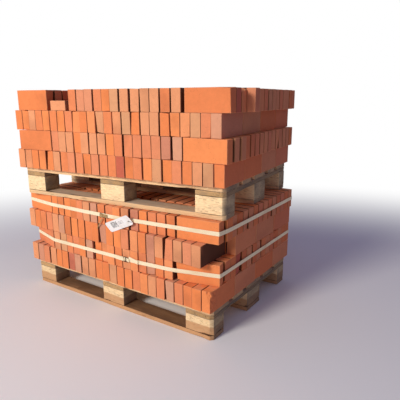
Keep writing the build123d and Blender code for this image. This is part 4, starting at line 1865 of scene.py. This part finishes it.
@dataclass
class Tag:
    """The white card on the top strap, slightly bowed, with an eyelet at one end."""

    card: bpy.types.Material
    metal: bpy.types.Material
    thickness: float = 0.0005
    corner: float = 0.006
    bow: float = 0.0035
    ripple: float = 0.0006
    lifted: float = 0.004
    columns: int = 30
    rows: int = 14
    eyelet_radius: float = 0.0032
    eyelet_inset: tuple[float, float] = (0.016, 0.034)
    tie_radius: float = 0.0007

    def build(self, node: bpy.types.Object) -> None:
        """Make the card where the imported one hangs.

        Args:
            node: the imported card.
        """
        axes, middle, half = self._axes(node)
        mesh = self._card(axes, middle, half)
        mesh.materials.append(self.card)
        link("tag_card_sheet", mesh, [node.name])
        self._eyelet(axes, middle, half)

    @staticmethod
    def _axes(node: bpy.types.Object) -> tuple[Matrix, Vector, Vector]:
        """The card's own axes (along, up and out), its middle and its half sizes."""
        form = solid_copy(node)
        longest = max(form.edges, key=lambda edge: edge.calc_length())
        along = (longest.verts[1].co - longest.verts[0].co).normalized()
        along = along if along.x > 0 else -along
        face = max(form.faces, key=lambda face: face.calc_area())
        out = face.normal.copy()
        out = out if out.y < 0 else -out
        up = out.cross(along)
        up = up if up.z > 0 else -up
        spots = [vertex.co.copy() for vertex in form.verts]
        form.free()
        axes = Matrix((along, up, out))
        local = np.array([(axes @ spot)[:] for spot in spots])
        low, high = local.min(axis=0), local.max(axis=0)
        return axes.transposed(), axes.transposed() @ Vector((low + high) / 2), Vector((high - low) / 2)

    def _surface(self, u: float, v: float, half: Vector) -> float:
        """How far the card stands out at a point: bowed along, with a lifted corner."""
        s, t = u / half.x, v / half.y
        lift = max(s - 0.3, 0.0) * max(t - 0.1, 0.0) * self.lifted
        return self.bow * (0.5 - s * s) * 0.8 + self.ripple * math.sin(5 * s + 2 * t) + lift

    def _card(self, axes: Matrix, middle: Vector, half: Vector) -> bpy.types.Mesh:
        """The card as two faces and an edge."""
        form = bmesh.new()
        layer = form.verts.layers.float_vector.new("card_place")
        cut = self.corner
        straight = np.linspace(-half.y + cut, half.y - cut, self.rows)
        levels = [-half.y, -half.y + cut / 2, *straight, half.y - cut / 2, half.y]
        grids = []
        for side in (0.5, -0.5):
            grid = []
            for v in levels:
                reach = half.x - max(abs(v) - (half.y - cut), 0.0)
                line = []
                for u in np.linspace(-reach, reach, self.columns):
                    out = self._surface(u, v, half) + side * self.thickness
                    vertex = form.verts.new(middle + axes @ Vector((u, v, out)))
                    vertex[layer] = (u, v, out)
                    line.append(vertex)
                grid.append(line)
            grids.append(grid)
        for grid in grids:
            for lower, upper in zip(grid, grid[1:]):
                for n in range(self.columns - 1):
                    form.faces.new((lower[n], lower[n + 1], upper[n + 1], upper[n]))
        front, back = grids
        rims = [(front[0], back[0]), (front[-1], back[-1])]
        rims += [([row[end] for row in front], [row[end] for row in back]) for end in (0, -1)]
        for line, other in rims:
            for n in range(len(line) - 1):
                form.faces.new((line[n], line[n + 1], other[n + 1], other[n]))
        mesh = to_mesh(form, "tag_card_sheet")
        for polygon in mesh.polygons:
            polygon.use_smooth = polygon.area > 2e-6
        mesh.set_sharp_from_angle(angle=math.radians(40))
        return mesh

    def _eyelet(self, axes: Matrix, middle: Vector, half: Vector) -> None:
        """A small ring pressed into the card, with a bit of tie wire through it."""
        u, v = half.x - self.eyelet_inset[0], half.y - self.eyelet_inset[1]
        spot = middle + axes @ Vector((u, v, self._surface(u, v, half) + self.thickness))
        turns = np.linspace(0, 2 * math.pi, 17)[:-1]
        ring = [spot + axes @ (Vector((math.cos(t), math.sin(t), 0.0)) * self.eyelet_radius) for t in turns]
        ways = (
            (0.0, 0.0, -0.0006),
            (0.004, -0.001, 0.0016),
            (0.010, -0.006, 0.0016),
            (0.0145, -0.010, 0.0002),
        )
        tie = arc([(spot + axes @ Vector(way))[:] for way in ways], 9)
        edges = [*closed_edges(len(ring)), *open_edges(len(tie), len(ring))]
        path = plain_mesh("eyelet_path", [*ring, *tie], edges)
        link("tag_eyelet_and_tie", round_wire(path, self.tie_radius, 8, self.metal), [])


# Studio


@dataclass
class Studio:
    """The camera at the photograph's angle, one broad soft lamp, an even surround and a pale floor."""

    camera_place: Spot = (1.47895, -1.81529, 1.04454)
    yaw: float = -33.654
    pitch: float = -13.526
    roll: float = -0.149
    lens: float = 38.015
    sensor: float = 36.0
    key_place: Spot = (-0.8, -5.9, 3.3)
    key_aim: Spot = (0.0, 0.0, 0.45)
    key_size: float = 1.9
    key_power: float = 318.0
    key_colour: tuple[float, float, float] = (1.0, 0.965, 0.91)
    surround: float = 0.29
    surround_colour: Colour = (0.69, 0.66, 1.0, 1.0)
    floor_reach: float = 30.0

    def build(self) -> None:
        """Set up the whole studio."""
        self._camera()
        self._key()
        self._surround()
        self._floor()
        bpy.context.scene.view_settings.view_transform = "Standard"

    def _camera(self) -> None:
        """The camera, measured from the photograph."""
        lens = bpy.data.cameras.new("camera")
        lens.sensor_width = self.sensor
        lens.lens = self.lens
        lens.clip_start, lens.clip_end = 0.05, 100.0
        camera = bpy.data.objects.new("camera", lens)
        bpy.context.scene.collection.objects.link(camera)
        turned = Euler((math.radians(90 + self.pitch), 0.0, math.radians(-self.yaw)), "XYZ").to_matrix()
        camera.rotation_euler = (turned @ Matrix.Rotation(math.radians(self.roll), 3, "Z")).to_euler()
        camera.location = self.camera_place
        bpy.context.scene.camera = camera

    def _key(self) -> None:
        """The broad lamp, in front and to the left."""
        lamp = bpy.data.lights.new("key", "AREA")
        lamp.shape = "DISK"
        lamp.size = self.key_size
        lamp.energy = self.key_power
        lamp.color = self.key_colour
        key = bpy.data.objects.new("key", lamp)
        bpy.context.scene.collection.objects.link(key)
        key.location = self.key_place
        key.rotation_euler = (Vector(self.key_aim) - key.location).to_track_quat("-Z", "Y").to_euler()

    def _surround(self) -> None:
        """The even light all round, which the camera sees as plain white."""
        world = bpy.data.worlds.new("surround")
        world.use_nodes = True
        bpy.context.scene.world = world
        graph = Graph(world.node_tree)
        even = {"Color": self.surround_colour, "Strength": self.surround}
        light = graph.node("ShaderNodeBackground", sockets=even)
        white = graph.node("ShaderNodeBackground", sockets={"Color": WHITE, "Strength": 1.0})
        both = graph.node("ShaderNodeMixShader", sockets={0: graph.seen(), 1: light, 2: white})
        graph.node("ShaderNodeOutputWorld", sockets={"Surface": both})

    def _floor(self) -> None:
        """The floor, which is part of the studio and not of the object."""
        reach = self.floor_reach
        corners = [(-reach, -reach, 0), (reach, -reach, 0), (reach, reach, 0), (-reach, reach, 0)]
        mesh = plain_mesh("studio_floor", corners, faces=[(0, 1, 2, 3)])
        mesh.materials.append(FloorFinish().paint())
        floor = bpy.data.objects.new("studio_floor", mesh)
        bpy.context.scene.collection.objects.link(floor)


# The two loads


LOWER_NOTES = {
    1: Notes(
        {(Run.HEADER, 8): Clay.LILAC, (Run.HEADER, 20): Clay.LILAC, (Run.HEADER, 24): Clay.BRIGHT},
        {(Run.HEADER, 24): Kind.BROKEN_CORNER},
    ),
    2: Notes(
        {
            (Run.LEFT_TURNED, 1): Clay.CORAL,
            (Run.RIGHT_TURNED, 1): Clay.BRIGHT,
            (Run.RIGHT_TURNED, 4): Clay.EMBER,
        },
        {(Run.RIGHT_TURNED, 2): Kind.CHIPPED_FOOT},
    ),
    3: Notes({(Run.HEADER, 6): Clay.LILAC}),
    4: Notes({(Run.LEFT_TURNED, 1): Clay.BRIGHT, (Run.RIGHT_TURNED, 1): Clay.BRIGHT}),
}
UPPER_NOTES = {
    2: Notes(
        {(Run.HEADER, 15): Clay.LILAC, (Run.LEFT_TURNED, 1): Clay.ORANGE, (Run.RIGHT_TURNED, 1): Clay.BRIGHT},
    ),
    3: Notes({(Run.HEADER, 15): Clay.PALE, (Run.HEADER, 22): Clay.PALE}),
    4: Notes(
        {
            (Run.LEFT_TURNED, 1): Clay.ORANGE,
            (Run.RIGHT_TURNED, 1): Clay.ORANGE,
            (Run.RIGHT_TURNED, 2): Clay.EMBER,
            (Run.LYING, 1): Clay.PEACH,
        },
        {(Run.RIGHT_TURNED, 3): Kind.ROUNDED_END},
    ),
}


def bare_ledges() -> list[tuple[Vector, Vector, float]]:
    """Where crumbs lie: two edges of the lower load, and the place of its missing corner brick."""
    low, high = (Vector(corner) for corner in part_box("lower_bricks_course_4"))
    top = high.z - 0.001
    right = (Vector((high.x - 0.05, low.y + 0.05, top)), Vector((high.x - 0.008, low.y + 0.5, top)), 0.55)
    front = (Vector((-0.5, low.y + 0.036, top)), Vector((high.x - 0.05, low.y + 0.05, top)), 0.2)
    corner_low, corner_high = (Vector(corner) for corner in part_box("lower_bricks_course_2"))
    shelf = corner_high.z - 0.001
    near = Vector((corner_high.x - 0.055, corner_low.y + 0.01, shelf))
    far = Vector((corner_high.x - 0.012, corner_low.y + 0.16, shelf))
    return [right, front, (near, far, 0.25)]


def main() -> None:
    """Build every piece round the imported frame, then the studio."""
    logging.basicConfig(level=logging.INFO, format="%(message)s")
    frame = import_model()
    nodes = frame["nodes"]
    clay = ClayFinish().paint()
    woods = {
        Cut.LENGTHWISE: TimberFinish().paint(),
        Cut.CROSSWISE: StringerFinish().paint(),
        Cut.BLOCK: ChipFinish().paint(),
    }
    wire = WireFinish().paint()
    shape = BrickShape()
    shape.build()
    for prefix, notes, seed in (("lower", LOWER_NOTES, 31), ("upper", UPPER_NOTES, 47)):
        place = place_of(nodes, prefix)
        turned = math.degrees(place.turn)
        log.info("%s pallet stands at %s, turned %.2f degrees", prefix, place.foot[:], turned)
        Pallet(prefix, place, woods, wire, seed).build(nodes)
        BrickLoad(prefix, place, shape, clay, notes, seed + 1).build(nodes)
    shape.clear()
    Crumbs(clay).build(bare_ledges())
    webbing = Webbing(WebbingFinish().paint())
    for name in ("top_strap", "bottom_strap"):
        webbing.round_load(nodes[name], name)
    Knot(Webbing(HandledShadedWebbingFinish().paint()), wire).build()
    Buckle(webbing, wire).build()
    Tag(CardFinish().paint(), wire).build(nodes["tag"])
    Studio().build()


if __name__ == "__main__":
    main()
